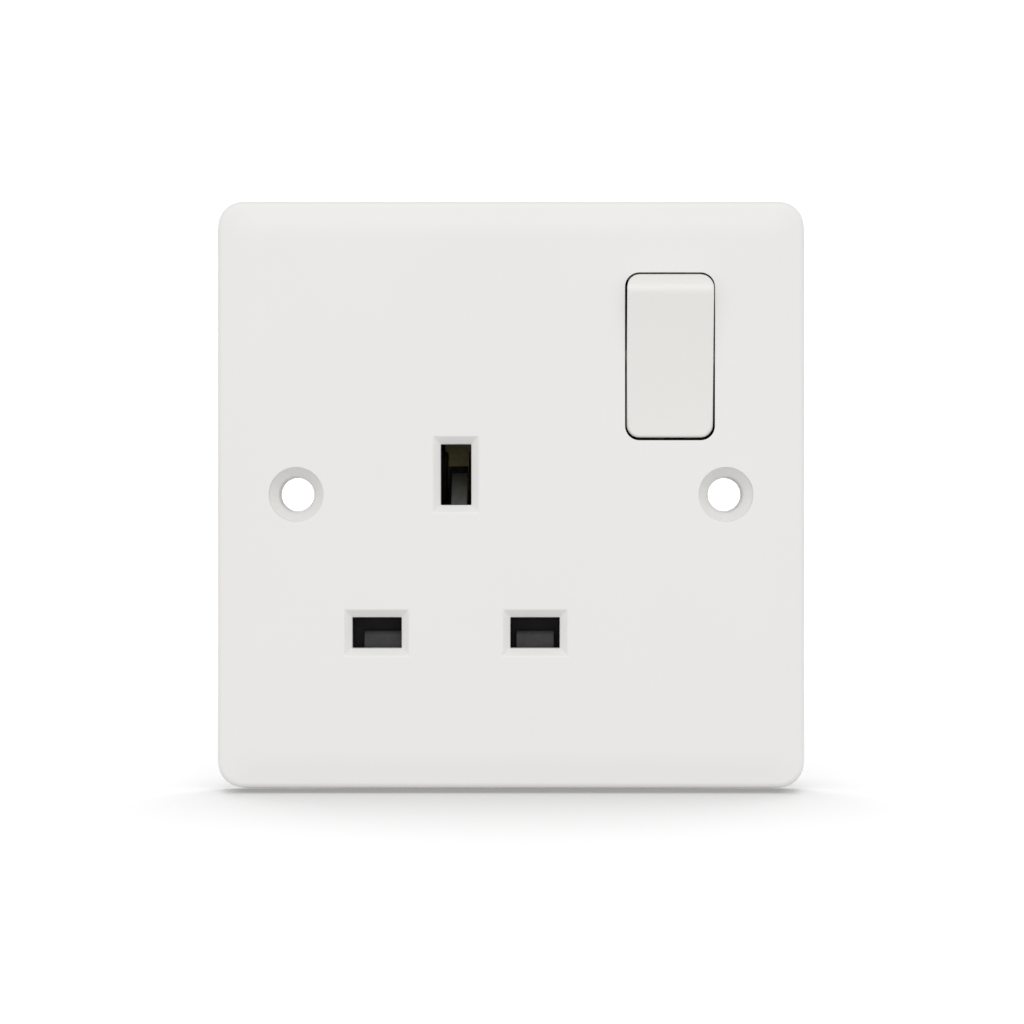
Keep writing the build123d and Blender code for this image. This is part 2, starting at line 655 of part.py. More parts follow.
# Rear base: notched tub with chambers for the contacts, columns for the screws and wire entries
with BuildPart() as rear_base:
    with BuildSketch(level(BACK_Y)) as outline:
        with BuildLine():
            Polyline(
                (BASE_LEFT, BASE_BOTTOM),
                (BASE_LOWER_RIGHT, BASE_BOTTOM),
                (BASE_LOWER_RIGHT, -NOTCH_HALF),
                (NOTCH_X, -NOTCH_HALF),
                (NOTCH_X, NOTCH_HALF),
                (BASE_RIGHT, NOTCH_HALF),
                (BASE_RIGHT, BASE_TOP),
                (BASE_LEFT, BASE_TOP),
                (BASE_LEFT, NOTCH_HALF),
                (-NOTCH_X, NOTCH_HALF),
                (-NOTCH_X, -NOTCH_HALF),
                (BASE_LEFT, -NOTCH_HALF),
                close=True,
            )
        make_face()
    extrude(amount=BACK_Y - INNER_Y)
    chamfer(rear_base.edges().filter_by(Axis.Y), min(BASE_CORNER, (-BASE_LEFT - NOTCH_X) / 2.2))
    with BuildSketch(level(FLOOR_Y)):
        add(outline.sketch_local)
        offset(amount=-BASE_WALL, mode=Mode.REPLACE)
    extrude(amount=FLOOR_Y - INNER_Y, mode=Mode.SUBTRACT)

    # Chambers round the pins and partitions beside the terminals and the switch
    with BuildSketch(level(FLOOR_Y)):
        for centre, size in (
            ((LIVE_X, LINE_Z), (2 * CHAMBER_HALF, 2 * CHAMBER_HALF)),
            ((NEUTRAL_X, LINE_Z), (2 * CHAMBER_HALF, 2 * CHAMBER_HALF)),
            ((SOCKET_X, EARTH_Z - 1.85), (2 * CHAMBER_HALF, EARTH_JAW_WIDTH + 6.1)),
        ):
            with Locations(centre):
                Rectangle(size[0] + 2 * PARTITION, size[1] + 2 * PARTITION)
                Rectangle(*size, mode=Mode.SUBTRACT)
        switch_left = SWITCH_X - cradle_far
        with Locations((switch_left, BASE_TOP - BASE_WALL)):
            run = BASE_TOP - SWITCH_Z + OPENING_HEIGHT / 2
            Rectangle(PARTITION, run, align=(Align.MAX, Align.MAX))
    extrude(amount=FLOOR_Y - PARTITION_Y)
    with BuildSketch(level(FLOOR_Y)):
        for across, height in TERMINALS.values():
            wall_z = BASE_TOP if height > 0 else BASE_BOTTOM
            inner_end = height - BLOCK[2] / 2 if height > 0 else height + BLOCK[2] / 2
            for hand in (-1, 1):
                with Locations((across + hand * (BLOCK[0] / 2 + 0.1 + PARTITION / 2), (wall_z + inner_end) / 2)):
                    Rectangle(PARTITION, abs(wall_z - inner_end) - BASE_WALL)
    extrude(amount=FLOOR_Y - BORE_Y + WIRE_BORE)
    with BuildSketch(level(FLOOR_Y)):
        with Locations(*COLUMNS):
            Rectangle(COLUMN, COLUMN)
    extrude(amount=FLOOR_Y - COLUMN_Y)
    with BuildSketch(level(FLOOR_Y)):
        for hand in (-1, 1):
            with Locations((SWITCH_X + hand * (cradle_near + cradle_far) / 2, SWITCH_Z)):
                Rectangle(cradle_far - cradle_near, 4 * pin_seat)
    extrude(amount=FLOOR_Y - cradle_y)

    # Ways through the partitions for the straps, open to the front
    with BuildSketch(level(FLOOR_Y)):
        way = STRAP_WIDTH + 0.5
        with Locations((LIVE_X, LINE_Z + CHAMBER_HALF + PARTITION / 2)):
            Rectangle(way, 2 * PARTITION)
        with Locations((NEUTRAL_X + CHAMBER_HALF + PARTITION / 2, LINE_Z)):
            Rectangle(2 * PARTITION, way)
        with Locations((SOCKET_X, EARTH_Z + EARTH_JAW_WIDTH / 2 + 1.8)):
            Rectangle(way, 2 * PARTITION)
        with Locations((neutral_x - BLOCK[0] / 2 - PARTITION / 2, (neutral_z + LINE_Z) / 2)):
            Rectangle(2 * PARTITION, LINE_Z - neutral_z + way)
        with Locations((live_x + BLOCK[0] / 2 - 0.4, live_z)):
            Rectangle(PLATFORM_LEFT - live_x - BLOCK[0] / 2, BLADE_WIDTH + 0.5, align=(Align.MIN, Align.CENTER))
    extrude(amount=FLOOR_Y - PARTITION_Y, mode=Mode.SUBTRACT)

    # Ribs under the switch platform
    with BuildSketch(level(FLOOR_Y)):
        for across in (PLATFORM_LEFT + 1.2, PLATFORM_RIGHT - 0.6):
            with Locations((across, live_z)):
                Rectangle(0.8, BLADE_WIDTH)
    extrude(amount=FLOOR_Y - PLATFORM_Y - BRASS)

    # Screw holes from the back, wire entries in the top and bottom walls, open to the front
    with BuildSketch(level(BACK_Y)):
        with Locations(*COLUMNS):
            Circle(BASE_SCREW / 2 + SCREW_PLAY)
    extrude(amount=BACK_Y - COLUMN_Y, mode=Mode.SUBTRACT)
    with BuildSketch(level(BACK_Y)):
        with Locations(*COLUMNS):
            Circle(BASE_HEAD[0] / 2 + HEAD_PLAY / 2)
    extrude(amount=BACK_Y - SEAT_Y, mode=Mode.SUBTRACT)
    with BuildSketch(level(BACK_Y)):
        with Locations(*TERMINALS.values()):
            Rectangle(TERMINAL_ACCESS, TERMINAL_ACCESS)
    extrude(amount=BASE_FLOOR, mode=Mode.SUBTRACT)
    for across, height in TERMINALS.values():
        wall_z = BASE_TOP if height > 0 else BASE_BOTTOM
        with BuildSketch(level(BORE_Y + WIRE_ENTRY / 2)):
            with Locations((across, wall_z)):
                Rectangle(WIRE_ENTRY, 2 * BASE_WALL)
        extrude(amount=BORE_Y + WIRE_ENTRY / 2 - INNER_Y, mode=Mode.SUBTRACT)

save(rear_base, "rear_base")
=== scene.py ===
"""Switched wall socket: the dressed pieces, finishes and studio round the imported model.

Shapes are worked out in millimetres in the model's own frame (X right, Y into the wall, Z up)
and turned to metres where a mesh is made.
"""
import math

import bmesh
import bpy
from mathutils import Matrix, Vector
from mathutils.geometry import delaunay_2d_cdt


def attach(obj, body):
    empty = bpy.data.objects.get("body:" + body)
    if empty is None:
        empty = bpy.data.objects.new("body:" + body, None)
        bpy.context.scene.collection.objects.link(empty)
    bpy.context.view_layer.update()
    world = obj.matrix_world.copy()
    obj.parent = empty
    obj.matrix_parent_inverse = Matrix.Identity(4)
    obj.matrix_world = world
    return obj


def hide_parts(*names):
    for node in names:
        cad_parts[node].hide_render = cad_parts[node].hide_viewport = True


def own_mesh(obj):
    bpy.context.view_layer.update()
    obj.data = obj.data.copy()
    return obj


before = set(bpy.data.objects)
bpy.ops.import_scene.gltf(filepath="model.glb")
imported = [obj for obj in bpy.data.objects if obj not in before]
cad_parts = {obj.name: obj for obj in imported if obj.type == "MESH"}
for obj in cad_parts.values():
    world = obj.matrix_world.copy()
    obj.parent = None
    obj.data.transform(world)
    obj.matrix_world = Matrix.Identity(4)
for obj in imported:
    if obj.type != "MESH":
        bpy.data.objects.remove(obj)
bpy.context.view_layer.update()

bl_info = {
    "name": "Switched wall socket",
    "version": (1, 0, 0),
    "blender": (4, 5, 0),
    "location": "View3D > Sidebar > Socket",
    "description": "Builds the dressed pieces of a switched wall socket and its studio",
    "category": "Object",
}

MM = 0.001


def linear(hex_colour):
    """Linear red, green and blue of an sRGB hex colour."""
    channels = [int(hex_colour[place : place + 2], 16) / 255 for place in (1, 3, 5)]
    return [c / 12.92 if c <= 0.04045 else ((c + 0.055) / 1.055) ** 2.4 for c in channels]


def length(label, description, millimetres):
    """A size in millimetres as a property that Blender shows in its own units."""
    return bpy.props.FloatProperty(
        name=label, description=description, default=millimetres * MM, unit="LENGTH", precision=5
    )


def colour(label, description, hex_colour):
    """A colour property whose default is an sRGB hex value."""
    rgb = linear(hex_colour)
    return bpy.props.FloatVectorProperty(
        name=label, description=description, default=rgb, size=3, subtype="COLOR", min=0, max=1
    )


def power(label, description, watts):
    """The power of a lamp."""
    return bpy.props.FloatProperty(name=label, description=description, default=watts, unit="POWER")


class SocketPlateSettings(bpy.types.PropertyGroup):
    """Sizes of the front plate."""

    side: length("Side", "Width and height of the plate at the wall", 84.0)
    depth: length("Depth", "How far the flat face stands off the wall", 9.0)
    corner: length("Corner", "Radius of the plate's corners at the wall", 4.3)
    draft: length("Draft", "How much the rim draws in towards the face", 0.9)
    bevel: length("Bevel", "Width of the shallow slope round the flat face", 4.0)
    drop: length("Drop", "How far the slope falls towards the rim", 0.5)
    edge: length("Edge", "Radius between the slope and the rim", 0.9)
    wall: length("Wall", "Thickness of the rim at the wall", 2.4)
    slot_bevel: length("Slot bevel", "Width of the bevel round each pin slot", 0.95)
    lip: length("Lip", "Softness of the outer edge of each slot's bevel", 0.3)


class SocketRockerSettings(bpy.types.PropertyGroup):
    """Sizes of the rocker."""

    tilt: bpy.props.FloatProperty(
        name="Tilt", description="Lean of the rocker at rest", default=math.radians(7), subtype="ANGLE"
    )
    hollow: length("Hollow", "Depth of the hollow in the rocker's face", 0.45)
    edge: length("Edge", "Radius at the top and sides of the rocker's face", 0.24)
    foot_edge: length("Foot edge", "Radius at the bottom of the rocker's face", 0.5)
    corner: length("Corner", "Radius of the rocker's corners seen from the front", 1.76)


class SocketFinishSettings(bpy.types.PropertyGroup):
    """Colours of the finishes."""

    plate: colour("Plate", "White moulded plate", "#EBEAE8")
    rocker: colour("Rocker", "White moulded rocker", "#E8E7E3")
    base: colour("Base", "Charcoal moulded base", "#3A3B3D")
    shutter: colour("Shutter", "Dark moulded shutter and tray", "#242424")
    # Painted light: the two greys below paint light onto the shutter's front blocks and ramp, where light
    # through the slots falls
    block_painted_light: colour("Painted light on blocks", "Shutter where the line pins touch it", "#454545")
    ramp_painted_light: colour("Painted light on ramp", "Shutter where the earth pin slides on it", "#5B5B55")
    plunger: colour("Plunger", "Natural moulded plunger", "#D9D4C4")
    brass: colour("Brass", "Drawn brass bar", "#D2B06A")
    strip: colour("Strip", "Tarnished brass strip", "#A9A079")
    steel: colour("Steel", "Drawn spring wire", "#8F9092")
    zinc: colour("Zinc", "Plated screws", "#C3C8CA")
    silver: colour("Silver", "Contact tips", "#E6E4DE")


class SocketStageSettings(bpy.types.PropertyGroup):
    """Camera, light and floor."""

    distance: length("Distance", "From the camera to the flat face", 430.0)
    camera_x: length("Camera X", "Sideways place of the camera", 0.14)
    camera_z: length("Camera Z", "Height of the camera", -2.46)
    focal: bpy.props.FloatProperty(
        name="Focal length", description="Lens of the camera", default=107.8, unit="CAMERA"
    )
    floor: colour("Floor", "Matte paper sweep", "#E6E6E6")
    floor_gap: length("Floor gap", "How far the paper lies below the plate's edge", 0.02)
    zenith: bpy.props.FloatProperty(name="Zenith", description="Light from straight above", default=0.68)
    horizon: bpy.props.FloatProperty(name="Horizon", description="Light from all round", default=1.0)
    nadir: bpy.props.FloatProperty(name="Nadir", description="Light from straight below", default=0.47)
    top: power("Top", "Power of the soft box above the camera", 8.0)
    back: power("Back", "Power of the soft box on the backdrop", 5.0)
    paper: power("Paper", "Power of the soft box on the paper", 13.5)


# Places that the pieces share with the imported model, in millimetres
SOCKET_X = -7.73
EARTH_Z = 2.8
LINE_Z = -19.43
PIN_HALF_SPACING = 11.115
SWITCH = Vector((22.3, -4.0, 19.5))
FIXING_X = 30.15
COLUMNS = ((-24.0, 24.0), (26.0, -25.0))
TERMINALS = ((7.5, 26.5), (-16.0, 26.5), (17.5, -24.0))
INNER_Y = -6.0
BOSS_Y = -0.8

# Foot of the plate's rim, where it meets the wall: its height, and its round as (inset, depth)
RIM_FOOT = 0.25
RIM_ROUND = ((0.06, -0.07), (0.22, 0.0))
# Flat face next to the slope: how far in its last ring lies, the corner radius there, the radius where
# the slope starts and what each step down the slope adds to it; half width of the soft start of the slope
FACE_RING = 1.6
FACE_CORNER = 2.0
SLOPE_CORNER = 2.1
SLOPE_CORNER_STEP = 0.02
SLOPE_SOFT = 1.0
# Rings down the soft start of the slope and round the edge, and steps round each corner of the plate
SLOPE_STEPS = 8
EDGE_STEPS = 10
PLATE_STEPS = 10
# Hollow back as (growth past its wall, corner radius, depth), from the wall plane inwards
HOLLOW_ROWS = ((0.2, 1.4, 0), (0.0, 1.2, -0.2), (-0.3, 0.9, INNER_Y + 0.5), (-0.7, 0.6, INNER_Y))
# Half width and height of the pin slots, then each slot's centre and size
EARTH_SLOT = (2.15, 4.275)
LINE_SLOT = (3.475, 2.175)
SLOTS = (
    ((SOCKET_X, EARTH_Z), EARTH_SLOT),
    ((SOCKET_X - PIN_HALF_SPACING, LINE_Z), LINE_SLOT),
    ((SOCKET_X + PIN_HALF_SPACING, LINE_Z), LINE_SLOT),
)
# Slots' bevel: shares of its soft lip that have a ring, its foot as (growth, depth past the bevel), the
# radius of the slots' corners and the steps round one
LIP_SHARES = (0.0, 0.25, 0.5, 0.75, 1.0)
SLOT_FOOT = ((0.08, -0.08), (0.02, 0.0), (0.0, 0.12))
SLOT_CORNER = 0.12
SLOT_STEPS = 3
# Fixing hole as (radius, depth behind the face)
FIXING_MOUTH = ((3.9, 0.0), (3.85, 0.02), (3.83, 0.08), (3.8, 0.75))
FIXING_CONE = ((3.72, 0.84), (2.62, 2.3), (2.58, 2.4), (2.32, 3.6))
# Its bore and its boss as (radius, depth from the wall plane)
FIXING_BORE = ((2.32, -4.4), (2.7, -4.1), (2.7, -0.15), (2.85, 0.0))
FIXING_BOSS = ((4.35, 0.0), (4.5, -0.15), (4.5, INNER_Y + 0.4), (4.9, INNER_Y))
# Switch opening: half width and height, corner radius, how far its centre lies below the rocker's pivot,
# and its wall as (wider, taller, depth behind the face), with a relief behind the edge
OPENING_HALF = (6.3, 11.77)
OPENING_CORNER = 2.0
OPENING_DROP = 0.13
OPENING_ROWS = ((0.06, 0.06, 0.0), (0.02, 0.02, 0.02), (0.0, 0.0, 0.06))
OPENING_ROWS += ((0.02, 0.02, 0.45), (0.42, 0.8, 0.9))
OPENING_BACK = (0.45, 0.9, INNER_Y)
# Screw columns as (half side, corner radius, depth) and their bores as (radius, depth), with the steps
# round a corner and round a bore
COLUMN_ROWS = ((2.9, 0.5, INNER_Y), (2.6, 0.4, INNER_Y + 0.3), (2.6, 0.4, BOSS_Y - 0.1), (2.5, 0.4, BOSS_Y))
COLUMN_BORE = ((1.6, BOSS_Y), (1.48, BOSS_Y - 0.12), (1.48, INNER_Y + 0.02))
COLUMN_STEPS = 6
BORE_STEPS = 24
# Saddles of the rocker's pins: their two faces, half height, radius, end and where they root in the plate
SADDLE_SPAN = (6.6, 8.2)
SADDLE_HALF = 2.5
SADDLE_RADIUS = 1.25
SADDLE_END = -2.75
SADDLE_ROOT = INNER_Y - 0.05
SADDLE_STEPS = 16

# Rocker's spring tube and pivot pins as (reach, radius) along their axes
SPRING_TUBE = ((-4.5, 0), (-4.5, 2.9), (-4.0, 2.6), (7.35, 2.6), (7.5, 2.45))
SPRING_TUBE += ((7.5, 1.95), (7.35, 1.8), (-2.5, 1.8), (-2.5, 0))
PIVOT_PIN = ((5.4, 0), (5.4, 1.2), (7.45, 1.2), (7.6, 1.12), (7.66, 0.98), (7.66, 0))

# Springs: height at rest, outside diameter, wire and number of turns
ROCKER_COIL = {"height": 5.0, "outer": 3.2, "wire": 0.42, "turns": 6}
SHUTTER_COIL = {"height": 8.6, "outer": 3.0, "wire": 0.4, "turns": 8}
# Fixed end of the shutter's spring
SHUTTER_COIL_FOOT = Vector((-7.33, -4.1, -13.57))

# Way that the screws point, from their tips to their heads
INTO_WALL = Vector((0, 1, 0))
# Base screws: tip, thread, head as (reach, radius), and the driver's cross at its mouth and floor
BASE_SCREW_TIP = -5.2
BASE_SCREW_THREAD = {"start": -4.2, "end": 14.8, "radius": 1.45, "pitch": 1.1, "depth": 0.32}
BASE_SCREW_HEAD = ((14.8, 1.1), (14.8, 2.72), (14.9, 2.8), (15.5, 2.8))
BASE_SCREW_HEAD += ((15.9, 2.72), (16.3, 2.45), (16.58, 2.1), (16.7, 1.8))
CROSS_MOUTH = {"reach": 1.55, "width": 0.28}
CROSS_MOUTH_Y = 16.7
CROSS_FLOOR = {"reach": 0.7, "width": 0.22}
CROSS_FLOOR_Y = 15.6
BASE_SCREW_TURNS = (20, 55)
# Terminal screws: thread, tip as (reach, radius), slotted head as (depth, radius) and half of the slot
TERMINAL_SCREW_THREAD = {"start": 11.6, "end": 15.5, "radius": 1.75, "pitch": 0.6, "depth": 0.2}
TERMINAL_SCREW_TIP = ((11.3, 0), (11.3, 1.25), (11.6, 1.54))
TERMINAL_SCREW_HEAD = ((15.45, 1.6), (16.22, 1.6), (16.4, 1.46))
TERMINAL_SCREW_SLOT = 0.42
TERMINAL_SCREW_TURNS = (25, -40, 25)

# Finishes: reach of the pigment's drift, length of a metal's lines over their width, reach of its dull
# patches and depth of the lines
DRIFT_MM = 25
LINE_STRETCH = 12
PATCH_MM = 4.0
LINE_DEPTH_MM = 0.02
# Shutter's painted light: depths at which its blocks and heights at which its ramp go from unlit to painted
# lit, and the size of the patches that break it up
BLOCK_PAINTED_LIGHT_Y = (-4.5, -5.5)
RAMP_PAINTED_LIGHT_Z = (-6.0, -3.0)
PAINTED_LIGHT_PATCH_MM = 1.5

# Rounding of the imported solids: distance at which points are welded, angle up to which faces are one flat
# and angle from which an edge is rounded
WELD_MM = 0.002
FLAT_DEGREES = 1
EDGE_DEGREES = 30

# Paper sweep: its front end, where it turns up, radius and steps of that turn, its top and half its width
SWEEP_FRONT = -1500.0
SWEEP_TURN = 900.0
SWEEP_RADIUS = 400
SWEEP_STEPS = 16
SWEEP_TOP = 1800.0
SWEEP_HALF = 2000
# Fibres of the paper: how wide they are drawn and how deep
FIBRE_MM = 0.8
FIBRE_DEPTH_MM = 0.02
# Place of the horizon's light between straight down (0) and straight up (1)
HORIZON_STOP = 0.45
# Soft boxes: place, target and side
TOP_BOX = {"place_mm": (0, -1500, 1150), "target_mm": (0, 0, 0), "size_mm": 1200}
BACK_BOX = {"place_mm": (0, 420, 620), "target_mm": (0, 1300, 300), "size_mm": 600}
PAPER_BOX = {"place_mm": (0, 600, 1200), "target_mm": (0, 0, -42), "size_mm": 1300}
# Camera: width of its sensor and the nearest thing that it shows
SENSOR_MM = 36.0
NEAREST_MM = 10.0


def outline(half_x, half_z, radius, centre=(0, 0), steps=8):
    """Points round a rectangle with rounded corners, anticlockwise seen from the front."""
    points = []
    for corner, (side_x, side_z) in enumerate(((1, 1), (-1, 1), (-1, -1), (1, -1))):
        for step in range(steps + 1):
            angle = math.pi / 2 * (corner + step / steps)
            x = centre[0] + side_x * (half_x - radius) + radius * math.cos(angle)
            z = centre[1] + side_z * (half_z - radius) + radius * math.sin(angle)
            points.append((x, z))
    return points


def circle(radius, centre, count=48):
    """Points round a circle, anticlockwise seen from the front."""
    turns = [2 * math.pi * step / count for step in range(count)]
    return [(centre[0] + radius * math.cos(turn), centre[1] + radius * math.sin(turn)) for turn in turns]


def ring(mesh, points, y):
    """Vertices of one outline at a depth."""
    return [mesh.verts.new((x * MM, y * MM, z * MM)) for x, z in points]


def skin(mesh, rings, closed=True):
    """Quads between rings that follow each other."""
    for near, far in zip(rings, rings[1:]):
        count = len(near)
        for place in range(count if closed else count - 1):
            after = (place + 1) % count
            mesh.faces.new((near[place], near[after], far[after], far[place]))


def fill(mesh, rings):
    """Flat face bounded by the first ring, with the other rings as holes."""
    corner = rings[0][0].co
    normal = Vector()
    for near, far in zip(rings[0], rings[0][1:] + rings[0][:1]):
        normal += (near.co - corner).cross(far.co - corner)
    across = normal.orthogonal().normalized()
    along = normal.normalized().cross(across)
    vertices = [vertex for loop in rings for vertex in loop]
    flat = [((v.co - corner).dot(across) / MM, (v.co - corner).dot(along) / MM) for v in vertices]
    bounds = []
    start = 0
    for loop in rings:
        bounds.append(list(range(start, start + len(loop))))
        start += len(loop)
    spots = [Vector(spot) for spot in flat]
    inside_only = 1
    too_close = 1e-6
    _, _, faces, origins, _, owners = delaunay_2d_cdt(spots, [], bounds, inside_only, too_close)
    for face, owner in zip(faces, owners):
        if owner == [0]:
            mesh.faces.new([vertices[origins[spot][0]] for spot in face])


def lathe(mesh, origin, axis, profile, steps=32):
    """Surface of a profile of (reach, radius) pairs turned about an axis; ends of radius 0 close it."""
    way = Vector(axis).normalized()
    side = way.orthogonal().normalized()
    other = way.cross(side)
    turns = [2 * math.pi * step / steps for step in range(steps)]
    spokes = [side * math.cos(turn) + other * math.sin(turn) for turn in turns]
    rings = []
    for reach, radius in profile:
        middle = Vector(origin) + way * reach
        if radius == 0:
            rings.append([mesh.verts.new(middle * MM)])
        else:
            rings.append([mesh.verts.new((middle + spoke * radius) * MM) for spoke in spokes])
    for near, far in zip(rings, rings[1:]):
        if len(near) == 1 or len(far) == 1:
            tip, loop = (near[0], far) if len(near) == 1 else (far[0], near)
            for place in range(steps):
                mesh.faces.new((tip, loop[place], loop[(place + 1) % steps]))
        else:
            skin(mesh, [near, far])
    return rings


def finished(mesh, name, crease=35):
    """Object from a working mesh, shaded smooth with sharp edges kept above an angle in degrees."""
    bmesh.ops.recalc_face_normals(mesh, faces=mesh.faces)
    data = bpy.data.meshes.new(name)
    mesh.to_mesh(data)
    mesh.free()
    data.shade_smooth()
    data.set_sharp_from_angle(angle=math.radians(crease))
    piece = bpy.data.objects.new(name, data)
    bpy.context.scene.collection.objects.link(piece)
    return piece


def weighted(piece):
    """Shading that keeps large flats flat beside small rounds."""
    modifier = piece.modifiers.new("Weighted shading", "WEIGHTED_NORMAL")
    modifier.keep_sharp = True
    modifier.weight = 90


def soften(node, width, segments=2):
    """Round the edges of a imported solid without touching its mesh."""
    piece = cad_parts[node]
    weld = piece.modifiers.new("Weld", "WELD")
    weld.merge_threshold = WELD_MM * MM
    merge = piece.modifiers.new("Merge flats", "DECIMATE")
    merge.decimate_type = "DISSOLVE"
    merge.angle_limit = math.radians(FLAT_DEGREES)
    bevel = piece.modifiers.new("Rounded edges", "BEVEL")
    bevel.width = width * MM
    bevel.segments = segments
    bevel.limit_method = "ANGLE"
    bevel.angle_limit = math.radians(EDGE_DEGREES)
    bevel.harden_normals = False
    shading = piece.modifiers.new("Weighted shading", "WEIGHTED_NORMAL")
    shading.keep_sharp = False
    return piece


def dress(piece, material):
    """Give a piece one material."""
    piece.data.materials.clear()
    piece.data.materials.append(material)


def place(piece, body, slot, material, *nodes):
    """Seat a new piece: its body, its material and the solids that it stands for; its record slot is not
    used.
    """
    dress(piece, material)
    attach(piece, body)
    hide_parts(*nodes)


def add(tree, kind, settings=None, links=None):
    """Add a node, set its inputs or properties and link its inputs to other sockets."""
    node = tree.nodes.new(kind)
    for key, value in (settings or {}).items():
        if key in node.inputs:
            node.inputs[key].default_value = value
        else:
            setattr(node, key, value)
    for key, socket in (links or {}).items():
        tree.links.new(socket, node.inputs[key])
    return node


def blank(name):
    """Material of this name: a new one with its empty tree and its output, or the one made before, alone."""
    material = bpy.data.materials.get(name)
    if material:
        return material, None, None
    material = bpy.data.materials.new(name)
    material.use_nodes = True
    material.node_tree.nodes.clear()
    output = add(material.node_tree, "ShaderNodeOutputMaterial")
    return material, material.node_tree, output


def surface(name, patch, stops, stretch, relief, gloss, bump, constants):
    """Material whose colour drifts in patches and whose gloss and bump follow a finer relief.

    patch and relief are settings of noise, stops two places with a colour, stretch the scale of the
    relief's coordinates, gloss a range of roughness and constants what the shader itself takes.
    """
    material, tree, output = blank(name)
    if tree is None:
        return material
    coords = add(tree, "ShaderNodeTexCoord")
    drift = add(tree, "ShaderNodeTexNoise", patch, {"Vector": coords.outputs["Object"]})
    tint = add(tree, "ShaderNodeValToRGB", links={"Fac": drift.outputs["Fac"]})
    for element, (position, rgb) in zip(tint.color_ramp.elements, stops):
        element.position = position
        element.color = list(rgb) + [1]
    lay = add(tree, "ShaderNodeMapping", {"Scale": stretch}, {"Vector": coords.outputs["Object"]})
    fine = add(tree, "ShaderNodeTexNoise", relief, {"Vector": lay.outputs["Vector"]})
    rough = add(
        tree,
        "ShaderNodeMapRange",
        {"From Min": 0.3, "From Max": 0.7, "To Min": gloss[0], "To Max": gloss[1]},
        {"Value": fine.outputs["Fac"]},
    )
    dents = add(tree, "ShaderNodeBump", bump, {"Height": fine.outputs["Fac"]})
    links = {
        "Base Color": tint.outputs["Color"],
        "Roughness": rough.outputs["Result"],
        "Normal": dents.outputs["Normal"],
    }
    shader = add(tree, "ShaderNodeBsdfPrincipled", constants, links)
    tree.links.new(shader.outputs["BSDF"], output.inputs["Surface"])
    return material


def moulded(name, paint, roughness, grain_mm, grain_depth_mm, mottle, ior):
    """Moulded plastic: even colour with a faint drift of pigment and a fine tool texture in the gloss.

    The tool's real texture is a few hundredths of a millimetre, too fine to show in the render, so
    grain_mm is as coarse as it needs to show.
    """
    rgb = getattr(bpy.context.scene.socket_finish, paint)
    return surface(
        name,
        patch={"Scale": 1000 / DRIFT_MM, "Detail": 3.0, "Roughness": 0.6},
        stops=((0.3, [c * (1 - mottle) for c in rgb]), (0.7, [min(1.0, c * (1 + mottle)) for c in rgb])),
        stretch=(1, 1, 1),
        relief={"Scale": 1000 / grain_mm, "Detail": 4.0, "Roughness": 0.55},
        gloss=(roughness - 0.04, roughness + 0.05),
        bump={"Strength": 0.25, "Distance": grain_depth_mm * MM},
        constants={"IOR": ior},
    )


def worked_metal(name, paint, roughness, line_mm, along, dulling):
    """Bare metal: fine lines along the way it was rolled or drawn, and a patchy dulling of the surface.

    Real lines are about 0.02 mm apart, too fine to show in the render, so line_mm is as coarse as it
    needs to show.
    """
    rgb = getattr(bpy.context.scene.socket_finish, paint)
    return surface(
        name,
        patch={"Scale": 1000 / PATCH_MM, "Detail": 4.0, "Roughness": 0.65},
        stops=((0.35, [c * (1 - dulling) for c in rgb]), (0.65, rgb)),
        stretch=[1 / LINE_STRETCH if axis == along else 1.0 for axis in "XYZ"],
        relief={"Scale": 1000 / line_mm, "Detail": 5.0, "Roughness": 0.6},
        gloss=(roughness - 0.08, roughness + 0.1),
        bump={"Strength": 0.3, "Distance": LINE_DEPTH_MM * MM},
        constants={"Metallic": 1.0},
    )


def plate_finish():
    """White urea formaldehyde, moulded in a polished tool: soft satin gloss, hardly any grain."""
    return moulded(
        "urea formaldehyde, satin moulded", "plate",
        roughness=0.42, grain_mm=0.9, grain_depth_mm=0.012, mottle=0.006, ior=1.57,
    )


def rocker_finish():
    """White polycarbonate, moulded: a little glossier and cooler than the plate."""
    return moulded(
        "polycarbonate, satin moulded", "rocker",
        roughness=0.36, grain_mm=0.8, grain_depth_mm=0.010, mottle=0.006, ior=1.58,
    )


def base_finish():
    """Charcoal nylon, moulded in a spark-eroded tool: matt, with a grain that catches side light."""
    return moulded(
        "glass-filled nylon, spark-eroded mould", "base",
        roughness=0.58, grain_mm=0.35, grain_depth_mm=0.05, mottle=0.06, ior=1.53,
    )


def tray_finish():
    """Dark acetal, moulded: close grain and a low slippery sheen."""
    return moulded(
        "acetal, matt moulded", "shutter",
        roughness=0.5, grain_mm=0.4, grain_depth_mm=0.03, mottle=0.05, ior=1.48,
    )


